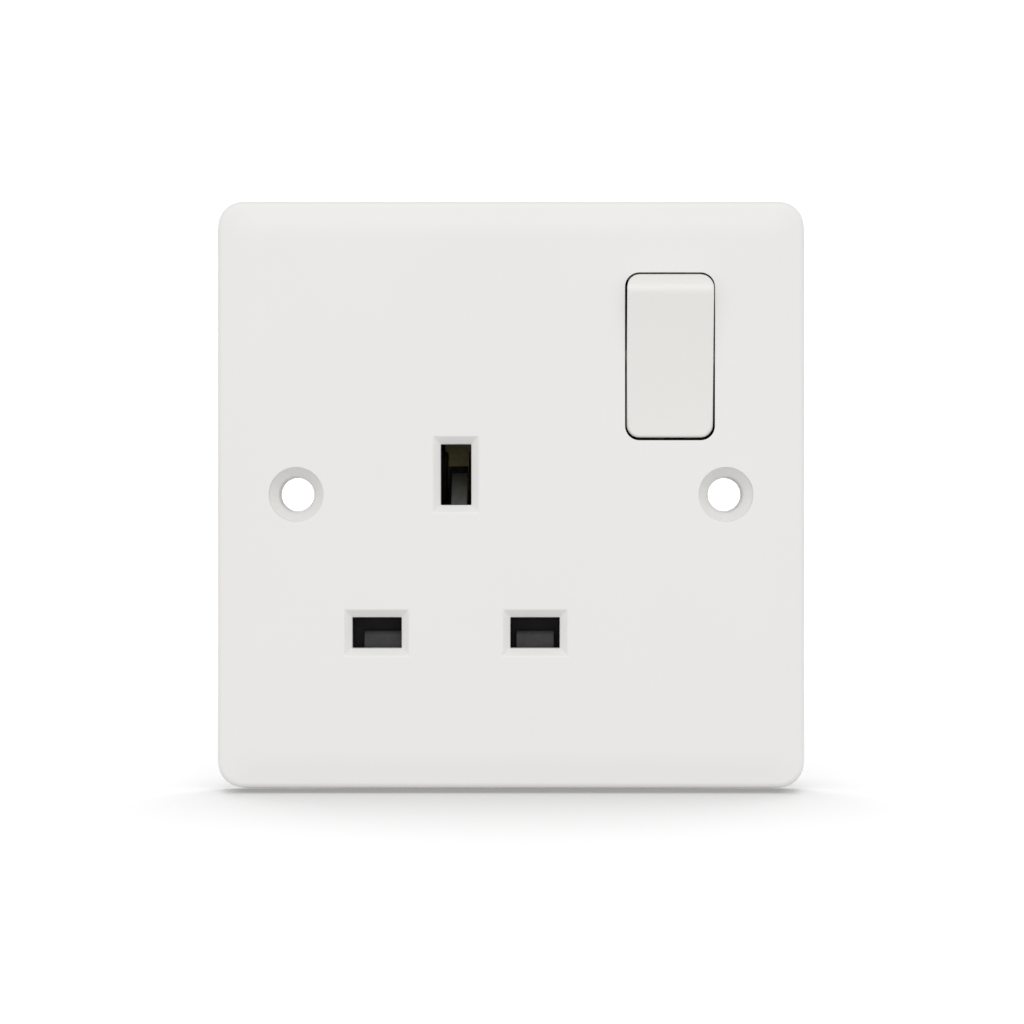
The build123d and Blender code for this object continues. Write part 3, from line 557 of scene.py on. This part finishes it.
def shutter_finish():
    """Dark acetal, moulded, with painted light: greyer on the high blocks and the ramp, where light through
    the slots falls on them.
    """
    colours = bpy.context.scene.socket_finish
    material = moulded(
        "acetal, moulded and rubbed", "shutter",
        roughness=0.72, grain_mm=0.4, grain_depth_mm=0.03, mottle=0.05, ior=1.48,
    )
    tree = material.node_tree
    shader = tree.nodes["Principled BSDF"]
    shader.inputs["Specular IOR Level"].default_value = 0.2
    coords = add(tree, "ShaderNodeTexCoord")
    axes = add(tree, "ShaderNodeSeparateXYZ", links={"Vector": coords.outputs["Object"]})
    # Painted light: a lighter grey on the blocks nearest the slots and on the ramp, broken into uneven
    # patches
    high = add(
        tree,
        "ShaderNodeMapRange",
        {"From Min": BLOCK_PAINTED_LIGHT_Y[0] * MM, "From Max": BLOCK_PAINTED_LIGHT_Y[1] * MM},
        {"Value": axes.outputs["Y"]},
    )
    ramp = add(
        tree,
        "ShaderNodeMapRange",
        {"From Min": RAMP_PAINTED_LIGHT_Z[0] * MM, "From Max": RAMP_PAINTED_LIGHT_Z[1] * MM},
        {"Value": axes.outputs["Z"]},
    )
    light_patches = add(
        tree,
        "ShaderNodeTexNoise",
        {"Scale": 1000 / PAINTED_LIGHT_PATCH_MM, "Detail": 3.0},
        {"Vector": coords.outputs["Object"]},
    )
    uneven = add(
        tree,
        "ShaderNodeMapRange",
        {"From Min": 0.3, "From Max": 0.6, "To Min": 0.75, "To Max": 1.0},
        {"Value": light_patches.outputs["Fac"]},
    )
    lit_place = add(
        tree,
        "ShaderNodeMath",
        {"operation": "MAXIMUM"},
        {0: high.outputs["Result"], 1: ramp.outputs["Result"]},
    )
    painted_light_share = add(
        tree,
        "ShaderNodeMath",
        {"operation": "MULTIPLY"},
        {0: lit_place.outputs[0], 1: uneven.outputs["Result"]},
    )
    painted_light_colour = add(
        tree,
        "ShaderNodeMixRGB",
        {"Color1": list(colours.block_painted_light) + [1], "Color2": list(colours.ramp_painted_light) + [1]},
        {"Fac": ramp.outputs["Result"]},
    )
    mixed = add(
        tree,
        "ShaderNodeMixRGB",
        links={
            "Fac": painted_light_share.outputs[0],
            "Color1": shader.inputs["Base Color"].links[0].from_socket,
            "Color2": painted_light_colour.outputs["Color"],
        },
    )
    tree.links.new(mixed.outputs["Color"], shader.inputs["Base Color"])
    return material


def plunger_finish():
    """Natural acetal, moulded: milky, with a waxy sheen."""
    return moulded(
        "acetal, natural moulded", "plunger",
        roughness=0.4, grain_mm=0.5, grain_depth_mm=0.02, mottle=0.02, ior=1.48,
    )


def strip_finish():
    """Cartridge brass, rolled and pressed: tarnished to a dull olive, with fine rolling lines."""
    return worked_metal(
        "brass strip, rolled", "strip",
        roughness=0.5, line_mm=0.4, along="X", dulling=0.3,
    )


def block_finish():
    """Free-cutting brass, drawn bar sawn to length: a little paler, with saw lines."""
    return worked_metal(
        "brass bar, sawn", "brass",
        roughness=0.28, line_mm=0.25, along="Z", dulling=0.12,
    )


def wire_finish():
    """Music wire, cold drawn: dark grey with lines along the draw."""
    return worked_metal(
        "spring wire, drawn", "steel",
        roughness=0.3, line_mm=0.15, along="Z", dulling=0.15,
    )


def screw_finish():
    """Mild steel, rolled thread and bright zinc plate: pale, slightly blue, clouded."""
    return worked_metal(
        "steel, bright zinc plated", "zinc",
        roughness=0.27, line_mm=0.3, along="Y", dulling=0.2,
    )


def tip_finish():
    """Silver alloy, pressed: white metal that goes warm and dull in patches."""
    return worked_metal(
        "silver alloy, pressed", "silver",
        roughness=0.34, line_mm=0.3, along="X", dulling=0.16,
    )


def plate_profile(settings):
    """Rings of the plate's outside as (half side, corner radius, depth), from the flat face to the wall."""
    half = settings.side / MM / 2
    front = -settings.depth / MM
    bevel = settings.bevel / MM
    drop = settings.drop / MM
    draft = settings.draft / MM
    edge = settings.edge / MM
    corner = settings.corner / MM
    shoulder = half - draft
    flat = shoulder - bevel
    slope = drop / bevel
    rows = [(flat - FACE_RING, FACE_CORNER, front), (flat - SLOPE_SOFT, SLOPE_CORNER, front)]
    for step in range(1, SLOPE_STEPS + 1):
        run = 2 * SLOPE_SOFT * step / SLOPE_STEPS
        fall = slope * run**2 / (4 * SLOPE_SOFT)
        rows.append((flat - SLOPE_SOFT + run, SLOPE_CORNER + SLOPE_CORNER_STEP * step, front + fall))
    lean = math.atan(slope)
    rim = -front - drop
    steep = math.pi / 2 - math.atan(draft / rim)
    middle = math.tan((steep - lean) / 2) * edge
    centre_out = shoulder - middle * math.cos(lean) - edge * math.sin(lean)
    centre_y = front + drop - middle * math.sin(lean) + edge * math.cos(lean)
    for step in range(EDGE_STEPS + 1):
        angle = lean + (steep - lean) * step / EDGE_STEPS
        out = centre_out + edge * math.sin(angle)
        rows.append((out, corner - (half - out), centre_y - edge * math.cos(angle)))
    rows.append((half - draft * RIM_FOOT / rim, corner, -RIM_FOOT))
    rows += [(half - inset, corner - inset, depth) for inset, depth in RIM_ROUND]
    return rows


def plate_slot(mesh, settings, centre, half_x, half_z):
    """Pin slot with a soft lip and a bevel; gives its rings in the face and at the back."""
    front = -settings.depth / MM
    lip = settings.lip / MM
    bevel = settings.slot_bevel / MM
    rows = [(bevel + lip * (1 - share), front + lip * share**2 / 2) for share in LIP_SHARES]
    rows += [(grow, front + (bevel + lip / 2 + past)) for grow, past in SLOT_FOOT]
    rows += [(0.0, INNER_Y)]
    rings = []
    for grow, depth in rows:
        corner = SLOT_CORNER * (1 + grow)
        rings.append(ring(mesh, outline(half_x + grow, half_z + grow, corner, centre, SLOT_STEPS), depth))
    skin(mesh, rings)
    return rings[0], rings[-1]


def plate_fixing(mesh, front, centre):
    """Countersunk fixing hole and its boss; gives their rings in the face and at the back."""
    rows = [(radius, front + depth) for radius, depth in FIXING_MOUTH + FIXING_CONE]
    rows += FIXING_BORE + FIXING_BOSS
    rings = [ring(mesh, circle(radius, centre), depth) for radius, depth in rows]
    skin(mesh, rings)
    return rings[0], rings[-1]


def plate_opening(mesh, front):
    """Opening for the rocker; gives its rings in the face and at the back."""
    centre = (SWITCH.x, SWITCH.z - OPENING_DROP)
    half_x, half_z = OPENING_HALF
    rows = [(wide, tall, front + depth) for wide, tall, depth in OPENING_ROWS] + [OPENING_BACK]
    rings = []
    for wide, tall, depth in rows:
        points = outline(half_x + wide, half_z + tall, OPENING_CORNER + wide, centre)
        rings.append(ring(mesh, points, depth))
    skin(mesh, rings)
    return rings[0], rings[-1]


def plate_column(mesh, centre):
    """Column with the bore of a base screw; gives the ring at its root."""
    rings = []
    for size, radius, depth in COLUMN_ROWS:
        rings.append(ring(mesh, outline(size, size, radius, centre, COLUMN_STEPS), depth))
    skin(mesh, rings)
    bore = [ring(mesh, circle(radius, centre, BORE_STEPS), depth) for radius, depth in COLUMN_BORE]
    skin(mesh, bore)
    fill(mesh, [rings[-1], bore[0]])
    fill(mesh, [bore[-1]])
    return rings[0]


def plate_saddle(mesh, side):
    """Saddle for the rocker's pin on one side."""
    wall = [(SADDLE_ROOT, SADDLE_HALF), (SADDLE_END, SADDLE_HALF), (SADDLE_END, SADDLE_RADIUS)]
    turns = [math.pi * step / SADDLE_STEPS for step in range(SADDLE_STEPS + 1)]
    seat = [(SWITCH.y - SADDLE_RADIUS * math.sin(turn), SADDLE_RADIUS * math.cos(turn)) for turn in turns]
    saddle = wall + seat + [(y, -z) for y, z in reversed(wall)]
    ends = []
    for x in SADDLE_SPAN:
        spots = [((SWITCH.x + side * x) * MM, y * MM, (SWITCH.z + z) * MM) for y, z in saddle]
        ends.append([mesh.verts.new(spot) for spot in spots])
    skin(mesh, ends)
    for end in ends:
        fill(mesh, [end])


class SOCKET_OT_front_plate(bpy.types.Operator):
    """Mould the front plate: drafted rim, shallow slope, bevelled slots, fixing holes and hollow back"""

    bl_idname = "socket.front_plate"
    bl_label = "Front plate"

    def execute(self, context):
        settings = context.scene.socket_plate
        front = -settings.depth / MM
        hollow = settings.side / MM / 2 - settings.wall / MM
        mesh = bmesh.new()
        outside = [
            ring(mesh, outline(size, size, radius, steps=PLATE_STEPS), depth)
            for size, radius, depth in plate_profile(settings)
        ]
        inside = [
            ring(mesh, outline(hollow + grow, hollow + grow, radius, steps=PLATE_STEPS), depth)
            for grow, radius, depth in HOLLOW_ROWS
        ]
        skin(mesh, outside + inside)
        holes = [plate_slot(mesh, settings, centre, *halves) for centre, halves in SLOTS]
        holes += [plate_fixing(mesh, front, (side * FIXING_X, 0.0)) for side in (-1, 1)]
        holes.append(plate_opening(mesh, front))
        columns = [plate_column(mesh, centre) for centre in COLUMNS]
        fill(mesh, [outside[0]] + [in_face for in_face, at_back in holes])
        fill(mesh, [inside[-1]] + [at_back for in_face, at_back in holes] + columns)
        for side in (-1, 1):
            plate_saddle(mesh, side)
        piece = finished(mesh, "front_plate_moulding", crease=50)
        weighted(piece)
        place(piece, "socket", "white_moulding", plate_finish(), "front_plate")
        return {"FINISHED"}


class RockerForm:
    """The rocker's face and skirt in its own tilted frame: u into the wall, v up the face."""

    # Radius of the drum that the ends follow, and how far its centre lies above the pivot
    drum = 12.498
    lift = 0.12
    # Depth of the face's edges, and half of its width
    face_u = -6.0
    half_width = 6.06
    # Heights of the face's foot, of the hollow's end and of the nose's start and end
    foot_v = -10.844
    hollow_end = 9.964
    nose_start = 9.26
    nose_end = 11.95
    # Fall of the nose for the square of the height past its start
    nose_curve = 0.27
    # Room that the ends leave to the drum
    end_room = 0.05
    # The foot's larger radius starts this high above the bottom and takes this height to be reached
    foot_start = 3.0
    foot_blend = 2.5
    # How deep the bottom and the top end stay straight before they follow the drum
    straight = (1.8, 1.2)
    # Share of the corners' round over which the ends come to follow it
    end_share = 0.25
    # Back edge of the skirt: its depth, half height of its level part, and its fall up to a height
    back_u = 2.2
    back_level = 4.2
    back_fall = 4.2
    back_end = drum + 1
    # Inside of the skirt: half width, half height and depth of its floor
    inner_width = 4.76
    inner_height = 10.0
    inner_floor = -4.15
    # Steps of the face's grid across its width, round each end and up the middle
    across_steps, end_steps, middle_steps = 40, 16, 56
    # Shares of the skirt's depth that have a ring
    levels = (0.04, 0.1, 0.2, 0.35, 0.65, 0.97, 1.0)
    # Draw of the skirt's sides and the share of its depth that takes it up, then the same for its back edge
    draw, draw_end = 0.03, 0.2
    turn_in, turn_in_start = 0.02, 0.9

    def __init__(self, settings):
        self.hollow = settings.hollow / MM
        self.edge = settings.edge / MM
        self.foot_edge = settings.foot_edge / MM
        self.corner = settings.corner / MM
        self.turn = settings.tilt
        self.top = self.reach(self.face(self.nose_end) + self.edge) - self.end_room
        self.bottom = -self.reach(self.face(self.foot_v) + self.edge) + 2 * self.lift + self.end_room
        self.middle = (self.top + self.bottom) / 2
        self.span = (self.top - self.bottom) / 2

    def reach(self, u):
        """Height of the drum's end at this depth."""
        return math.sqrt(self.drum**2 - u**2) + self.lift

    def face(self, v):
        """Depth of the hollowed face and its nose at this height."""
        low, high = self.foot_v, self.hollow_end
        middle, span = (low + high) / 2, (high - low) / 2
        arc = self.face_u + self.hollow * (1 - ((v - middle) / span) ** 2)
        return arc + self.nose_curve * max(0.0, v - self.nose_start) ** 2

    def past_corner(self, v):
        """How far a height lies beyond the start of the corners' round; less than 0 between them."""
        return abs(v - self.middle) - self.span + self.corner

    def inside(self, x, v):
        """How far a point lies inside the rounded outline of the face."""
        away_x = abs(x) - self.half_width + self.corner
        away_v = self.past_corner(v)
        outer = math.hypot(max(away_x, 0), max(away_v, 0))
        return self.corner - outer - min(max(away_x, away_v), 0)

    def rounding(self, x, v):
        """How far the edge of the face falls away at a point."""
        low = min(1.0, max(0.0, (self.bottom + self.foot_start - v) / self.foot_blend))
        edge = self.edge + (self.foot_edge - self.edge) * low
        away = max(0.0, edge - max(0.0, self.inside(x, v)))
        return edge - math.sqrt(edge**2 - away**2)

    def point(self, x, u, v):
        """Place in the model's frame."""
        c, s = math.cos(self.turn), math.sin(self.turn)
        return (SWITCH + Vector((x, u * c - v * s, u * s + v * c))) * MM

    def back(self, v):
        """Depth of the skirt's back edge at this height."""
        over = max(0.0, abs(v) - self.back_level)
        return self.back_u - self.back_fall * over / (self.back_end - self.back_level)

    def pull(self, share):
        """Share of its width that the skirt keeps at this share of its depth."""
        late = max(0.0, share - self.turn_in_start) / (1 - self.turn_in_start)
        return 1 - self.draw * min(1.0, share / self.draw_end) - self.turn_in * late

    def grid(self):
        """Rows of points over the face, closer together towards its edges."""
        last = self.across_steps
        across = [-math.cos(math.pi * step / last) for step in range(last + 1)]
        turns = [math.pi / 2 * step / self.end_steps for step in range(self.end_steps + 1)]
        ends = [1 - (1 - math.cos(turn)) * self.corner / self.span for turn in turns]
        between = [ends[-1] * (2 * step / self.middle_steps - 1) for step in range(1, self.middle_steps)]
        rows = []
        for share in [-end for end in ends] + between + ends[::-1]:
            v = self.middle + self.span * share
            over = max(0.0, self.past_corner(v))
            width = self.half_width - self.corner + math.sqrt(max(self.corner**2 - over**2, 0))
            places = [width * part for part in across]
            rows.append([(x, self.face(v) + self.rounding(x, v), v) for x in places])
        return rows

    def skirt(self, x, u, v, share):
        """Place on the skirt's outside behind a point of the rim, at a share of the skirt's depth."""
        deep = u + (self.back(v) - u) * share
        start = min(deep, u + self.straight[v > self.middle])
        end = max(0.0, self.past_corner(v)) / self.corner
        moved = (self.reach(deep) - self.reach(start)) * min(1.0, end / self.end_share)
        return self.point(x * self.pull(share), deep, v + (moved if v > self.middle else -moved))

    def inner(self, x, v, floor):
        """Place on the skirt's inside behind a point of the rim: on a floor or, without one, at the back."""
        inner_v = self.middle + (v - self.middle) * self.inner_height / self.span
        inner_x = x * self.inner_width / self.half_width
        deep = self.back(inner_v) if floor is None else floor
        return self.point(inner_x, deep, inner_v)


def border(rows, columns):
    """Places round the edge of a grid, in order."""
    path = [(0, column) for column in range(columns - 1)]
    path += [(row, columns - 1) for row in range(rows - 1)]
    path += [(rows - 1, column) for column in range(columns - 1, 0, -1)]
    path += [(row, 0) for row in range(rows - 1, 0, -1)]
    return path


class SOCKET_OT_rocker(bpy.types.Operator):
    """Mould the rocker: hollowed face with a nose, rounded edges, skirt, spring tube and pins"""

    bl_idname = "socket.rocker"
    bl_label = "Rocker"

    def execute(self, context):
        form = RockerForm(context.scene.socket_rocker)
        mesh = bmesh.new()
        grid = form.grid()
        rows = [[mesh.verts.new(form.point(*spot)) for spot in row] for row in grid]
        skin(mesh, rows, closed=False)
        path = border(len(rows), len(rows[0]))
        levels = [[rows[row][column] for row, column in path]]
        spots = [grid[row][column] for row, column in path]
        for share in form.levels:
            levels.append([mesh.verts.new(form.skirt(*spot, share)) for spot in spots])
        for floor in (None, form.inner_floor):
            levels.append([mesh.verts.new(form.inner(x, v, floor)) for x, _, v in spots])
        skin(mesh, levels)
        fill(mesh, [levels[-1]])
        way = Vector((0, math.cos(form.turn), math.sin(form.turn)))
        lathe(mesh, SWITCH, way, SPRING_TUBE)
        for side in (-1, 1):
            lathe(mesh, SWITCH, (side, 0, 0), PIVOT_PIN)
        piece = finished(mesh, "switch_rocker_moulding", crease=40)
        weighted(piece)
        place(piece, "rocker", "rocker_moulding", rocker_finish(), "switch_rocker")
        return {"FINISHED"}


def coil(name, foot, way, height, outer, wire, turns, per_turn=28, sides=8):
    """Compression spring of round wire: a closed turn at each end, and the rest evenly between them."""
    mesh = bmesh.new()
    way = Vector(way).normalized()
    side = way.orthogonal().normalized()
    other = way.cross(side)
    radius = (outer - wire) / 2
    steps = turns * per_turn
    rings = []
    for step in range(steps + 1):
        share = step / steps
        turned = turns * share
        ends = min(turned, turns - turned)
        rise = wire * min(ends, 1.0)
        free = height - 3 * wire
        climb = rise if share < 0.5 else height - wire - rise
        if ends > 1.0:
            climb = wire + free * (turned - 1.0) / (turns - 2.0)
        angle = 2 * math.pi * turned
        out = side * math.cos(angle) + other * math.sin(angle)
        middle = Vector(foot) + way * (climb + wire / 2) + out * radius
        loop = []
        for turn in range(sides):
            around = 2 * math.pi * turn / sides
            off = (out * math.cos(around) + way * math.sin(around)) * wire / 2
            loop.append(mesh.verts.new((middle + off) * MM))
        rings.append(loop)
    skin(mesh, rings)
    for loop in (rings[0], rings[-1]):
        mesh.faces.new(loop)
    return finished(mesh, name, crease=60)


class SOCKET_OT_springs(bpy.types.Operator):
    """Wind the two compression springs, the rocker's and the shutter's, at their resting length"""

    bl_idname = "socket.springs"
    bl_label = "Springs"

    def execute(self, context):
        turn = context.scene.socket_rocker.tilt
        way = Vector((0, math.cos(turn), math.sin(turn)))
        height = ROCKER_COIL["height"]
        foot = SWITCH - way * height / 2
        spring = coil("rocker_coil", foot, way, **ROCKER_COIL)
        place(spring, "rocker", "spring_steel", wire_finish(), "rocker_spring")
        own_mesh(spring)
        way = Vector((0, 0, 1))
        height = SHUTTER_COIL["height"]
        foot = SHUTTER_COIL_FOOT
        spring = coil("shutter_coil", foot, way, **SHUTTER_COIL)
        place(spring, "socket", "spring_steel", wire_finish(), "shutter_spring")
        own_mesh(spring)
        return {"FINISHED"}


def thread(mesh, foot, start, end, radius, pitch, depth, steps=24, per_pitch=8, fade_rows=6, steepness=2.6):
    """Threaded length of a screw between two reaches along its axis; gives its end rings.

    The ridge falls by steepness times its height in a pitch and fades out over fade_rows at each end.
    """
    side = Vector((1, 0, 0))
    other = INTO_WALL.cross(side)
    rows = int((end - start) / pitch * per_pitch)
    rings = []
    for row in range(rows + 1):
        reach = start + (end - start) * row / rows
        fade = min(1.0, min(row, rows - row) / fade_rows)
        loop = []
        for step in range(steps):
            angle = 2 * math.pi * step / steps
            phase = (reach / pitch + step / steps) % 1.0
            crest = 1 - min(1.0, abs(phase - 0.5) * steepness)
            out = radius - depth + depth * crest * fade
            spot = foot + INTO_WALL * reach + (side * math.cos(angle) + other * math.sin(angle)) * out
            loop.append(mesh.verts.new(spot * MM))
        rings.append(loop)
    skin(mesh, rings)
    return rings[0], rings[-1]


def cross(centre, turn, reach, width):
    """Outline of a driver's cross, turned by an angle."""
    points = []
    for quarter in range(4):
        angle = turn + math.pi / 2 * quarter
        for a, b in ((reach, -width), (reach, width), (width, width)):
            x = centre[0] + a * math.cos(angle) - b * math.sin(angle)
            points.append((x, centre[1] + a * math.sin(angle) + b * math.cos(angle)))
    return points


def half_disc(centre, radius, chord, turn, steps=16):
    """Outline of a disc's part beyond a chord, turned by an angle."""
    start = math.asin(chord / radius)
    points = []
    for step in range(steps + 1):
        angle = turn + start + (math.pi - 2 * start) * step / steps
        points.append((centre[0] + radius * math.cos(angle), centre[1] + radius * math.sin(angle)))
    return points


def base_screw(mesh, x, z, turn):
    """Screw with a coarse thread and a round head with a driver's cross, turned by an angle."""
    foot = Vector((x, 0, z))
    near, far = thread(mesh, foot, **BASE_SCREW_THREAD)
    tip = mesh.verts.new(Vector((x, BASE_SCREW_TIP, z)) * MM)
    for step in range(len(near)):
        mesh.faces.new((tip, near[step], near[(step + 1) % len(near)]))
    rings = lathe(mesh, foot, INTO_WALL, BASE_SCREW_HEAD)
    fill(mesh, [far])
    fill(mesh, [rings[0]])
    mouth = ring(mesh, cross((x, z), turn, **CROSS_MOUTH), CROSS_MOUTH_Y)
    floor = ring(mesh, cross((x, z), turn, **CROSS_FLOOR), CROSS_FLOOR_Y)
    fill(mesh, [rings[-1], mouth])
    skin(mesh, [mouth, floor])
    fill(mesh, [floor])


def terminal_screw(mesh, x, z, turn):
    """Clamping screw with a fine thread and a slotted head, turned by an angle."""
    foot = Vector((x, 0, z))
    near, far = thread(mesh, foot, **TERMINAL_SCREW_THREAD)
    tip = lathe(mesh, foot, INTO_WALL, TERMINAL_SCREW_TIP)
    for end in (near, far, tip[-1]):
        fill(mesh, [end])
    for half_turn in (turn, turn + math.pi):
        rings = [
            ring(mesh, half_disc((x, z), radius, TERMINAL_SCREW_SLOT, half_turn), depth)
            for depth, radius in TERMINAL_SCREW_HEAD
        ]
        skin(mesh, rings)
        fill(mesh, [rings[0]])
        fill(mesh, [rings[-1]])


class SOCKET_OT_screws(bpy.types.Operator):
    """Turn the base screws and the terminal screws, with threads and driver recesses"""

    bl_idname = "socket.screws"
    bl_label = "Screws"

    def execute(self, context):
        mesh = bmesh.new()
        for (x, z), degrees in zip(COLUMNS, BASE_SCREW_TURNS):
            base_screw(mesh, x, z, math.radians(degrees))
        screws = finished(mesh, "base_screws_turned", crease=35)
        place(screws, "socket", "zinc_steel", screw_finish(), "base_screws")
        mesh = bmesh.new()
        for (x, z), degrees in zip(TERMINALS, TERMINAL_SCREW_TURNS):
            terminal_screw(mesh, x, z, math.radians(degrees))
        screws = finished(mesh, "terminal_screws_turned", crease=35)
        place(screws, "socket", "zinc_steel", screw_finish(), "terminal_screws")
        return {"FINISHED"}


class SOCKET_OT_contacts(bpy.types.Operator):
    """Finish the brass strips, the terminal blocks, the contact tips and the plunger"""

    bl_idname = "socket.contacts"
    bl_label = "Contacts"

    def execute(self, context):
        strips = ["live_contact", "neutral_contact", "earth_contact"]
        strips += ["fixed_contact_strip", "moving_contact"]
        for node in strips:
            dress(soften(node, width=0.08), strip_finish())
        for node in ("live_terminal", "neutral_terminal", "earth_terminal"):
            dress(soften(node, width=0.2), block_finish())
        for node in ("moving_contact_tip", "fixed_contact_tip"):
            dress(soften(node, width=0.12), tip_finish())
        dress(soften("rocker_plunger", width=0.12), plunger_finish())
        return {"FINISHED"}


class SOCKET_OT_base(bpy.types.Operator):
    """Finish the rear base, the shutter and its tray"""

    bl_idname = "socket.base"
    bl_label = "Base and shutter"

    def execute(self, context):
        dress(soften("rear_base", width=0.3), base_finish())
        # The shutter's finish paints light onto its front blocks and ramp
        dress(soften("shutter", width=0.15), shutter_finish())
        dress(soften("shutter_tray", width=0.15), tray_finish())
        return {"FINISHED"}


def paper_finish():
    """Coated card: an even matt white.

    Its fibres are about 0.03 mm wide, too fine to show in the render, so FIBRE_MM is as coarse as it
    needs to show.
    """
    rgb = bpy.context.scene.socket_stage.floor
    material, tree, output = blank("paper, matt coated")
    coords = add(tree, "ShaderNodeTexCoord")
    fibre = add(
        tree,
        "ShaderNodeTexNoise",
        {"Scale": 1000 / FIBRE_MM, "Detail": 3.0},
        {"Vector": coords.outputs["Object"]},
    )
    bump = add(
        tree,
        "ShaderNodeBump",
        {"Strength": 0.1, "Distance": FIBRE_DEPTH_MM * MM},
        {"Height": fibre.outputs["Fac"]},
    )
    shader = add(
        tree,
        "ShaderNodeBsdfPrincipled",
        {"Base Color": list(rgb) + [1], "Roughness": 0.95, "Specular IOR Level": 0.0},
        {"Normal": bump.outputs["Normal"]},
    )
    tree.links.new(shader.outputs["BSDF"], output.inputs["Surface"])
    return material


def paper_sweep(ground):
    """Sheet that lies on the ground and turns up far behind the socket."""
    mesh = bmesh.new()
    sweep = [(SWEEP_FRONT, ground), (SWEEP_TURN, ground)]
    for step in range(1, SWEEP_STEPS + 1):
        angle = math.pi / 2 * step / SWEEP_STEPS
        rise = SWEEP_RADIUS * (1 - math.cos(angle))
        sweep.append((SWEEP_TURN + SWEEP_RADIUS * math.sin(angle), ground + rise))
    sweep.append((SWEEP_TURN + SWEEP_RADIUS, SWEEP_TOP))
    sides = (-SWEEP_HALF, SWEEP_HALF)
    rows = [[mesh.verts.new((x * MM, y * MM, z * MM)) for y, z in sweep] for x in sides]
    skin(mesh, rows, closed=False)
    return finished(mesh, "paper_sweep", crease=60)


def even_light(settings):
    """World whose light goes from the nadir over the horizon to the zenith."""
    world = bpy.data.worlds.new("studio")
    world.use_nodes = True
    tree = world.node_tree
    coords = add(tree, "ShaderNodeTexCoord")
    axes = add(tree, "ShaderNodeSeparateXYZ", links={"Vector": coords.outputs["Generated"]})
    height = add(
        tree,
        "ShaderNodeMapRange",
        {"From Min": -1.0, "From Max": 1.0},
        {"Value": axes.outputs["Z"]},
    )
    dome = add(tree, "ShaderNodeValToRGB", links={"Fac": height.outputs["Result"]})
    stops = dome.color_ramp.elements
    stops.new(HORIZON_STOP)
    for stop, strength in zip(stops, (settings.nadir, settings.horizon, settings.zenith)):
        stop.color = (strength, strength, strength, 1)
    tree.links.new(dome.outputs["Color"], tree.nodes["Background"].inputs["Color"])
    return world


def softbox(name, watts, place_mm, target_mm, size_mm):
    """Square area light at a place, facing a target."""
    light = bpy.data.lights.new(name, "AREA")
    light.shape = "SQUARE"
    light.size = size_mm * MM
    light.energy = watts
    lamp = bpy.data.objects.new(name, light)
    lamp.location = Vector(place_mm) * MM
    lamp.rotation_euler = (Vector(target_mm) - Vector(place_mm)).to_track_quat("-Z", "Y").to_euler()
    bpy.context.scene.collection.objects.link(lamp)
    return lamp


def front_camera(settings, plate_depth):
    """Camera that looks straight at the flat face."""
    lens = bpy.data.cameras.new("camera")
    lens.lens = settings.focal
    lens.sensor_width = SENSOR_MM
    lens.clip_start = NEAREST_MM * MM
    camera = bpy.data.objects.new("camera", lens)
    away = settings.distance + plate_depth
    camera.location = (settings.camera_x, -away, settings.camera_z)
    camera.rotation_euler = (math.pi / 2, 0, 0)
    bpy.context.scene.collection.objects.link(camera)
    return camera


class SOCKET_OT_stage(bpy.types.Operator):
    """Set the paper sweep, the even light, the soft boxes and the camera"""

    bl_idname = "socket.stage"
    bl_label = "Stage"

    def execute(self, context):
        scene = context.scene
        settings = scene.socket_stage
        floor = paper_sweep(-scene.socket_plate.side / MM / 2 - settings.floor_gap / MM)
        dress(floor, paper_finish())
        # The nadir lights the socket from below, and the paper neither hides that light nor adds to it
        floor.visible_diffuse = False
        scene.world = even_light(settings)
        softbox("top_box", settings.top, **TOP_BOX)
        softbox("back_box", settings.back, **BACK_BOX)
        # The box above the paper lights nothing else
        paper_only = bpy.data.collections.new("paper_only")
        paper_only.objects.link(floor)
        above = softbox("paper_box", settings.paper, **PAPER_BOX)
        above.light_linking.receiver_collection = paper_only
        scene.camera = front_camera(settings, scene.socket_plate.depth)
        scene.view_settings.view_transform = "Standard"
        return {"FINISHED"}


class SOCKET_PT_panel(bpy.types.Panel):
    """Builders and sizes of the socket"""

    bl_label = "Switched wall socket"
    bl_idname = "SOCKET_PT_panel"
    bl_space_type = "VIEW_3D"
    bl_region_type = "UI"
    bl_category = "Socket"

    def draw(self, context):
        layout = self.layout
        for operator in OPERATORS:
            layout.operator(operator.bl_idname)
        for group in SETTINGS:
            box = layout.box()
            for name in getattr(context.scene, group).bl_rna.properties.keys():
                if name not in ("rna_type", "name"):
                    box.prop(getattr(context.scene, group), name)


SETTINGS = {
    "socket_plate": SocketPlateSettings,
    "socket_rocker": SocketRockerSettings,
    "socket_finish": SocketFinishSettings,
    "socket_stage": SocketStageSettings,
}
OPERATORS = (
    SOCKET_OT_front_plate,
    SOCKET_OT_rocker,
    SOCKET_OT_springs,
    SOCKET_OT_screws,
    SOCKET_OT_contacts,
    SOCKET_OT_base,
    SOCKET_OT_stage,
)


def register():
    """Add the settings, the operators and the panel to Blender."""
    for name, group in SETTINGS.items():
        bpy.utils.register_class(group)
        setattr(bpy.types.Scene, name, bpy.props.PointerProperty(type=group))
    for operator in OPERATORS:
        bpy.utils.register_class(operator)
    bpy.utils.register_class(SOCKET_PT_panel)


def unregister():
    """Take the panel, the operators and the settings out again."""
    bpy.utils.unregister_class(SOCKET_PT_panel)
    for operator in reversed(OPERATORS):
        bpy.utils.unregister_class(operator)
    for name, group in reversed(SETTINGS.items()):
        delattr(bpy.types.Scene, name)
        bpy.utils.unregister_class(group)


def main():
    """Build every piece and the stage."""
    register()
    bpy.ops.socket.front_plate()
    bpy.ops.socket.rocker()
    bpy.ops.socket.springs()
    bpy.ops.socket.screws()
    bpy.ops.socket.contacts()
    bpy.ops.socket.base()
    bpy.ops.socket.stage()


if __name__ == "__main__":
    main()
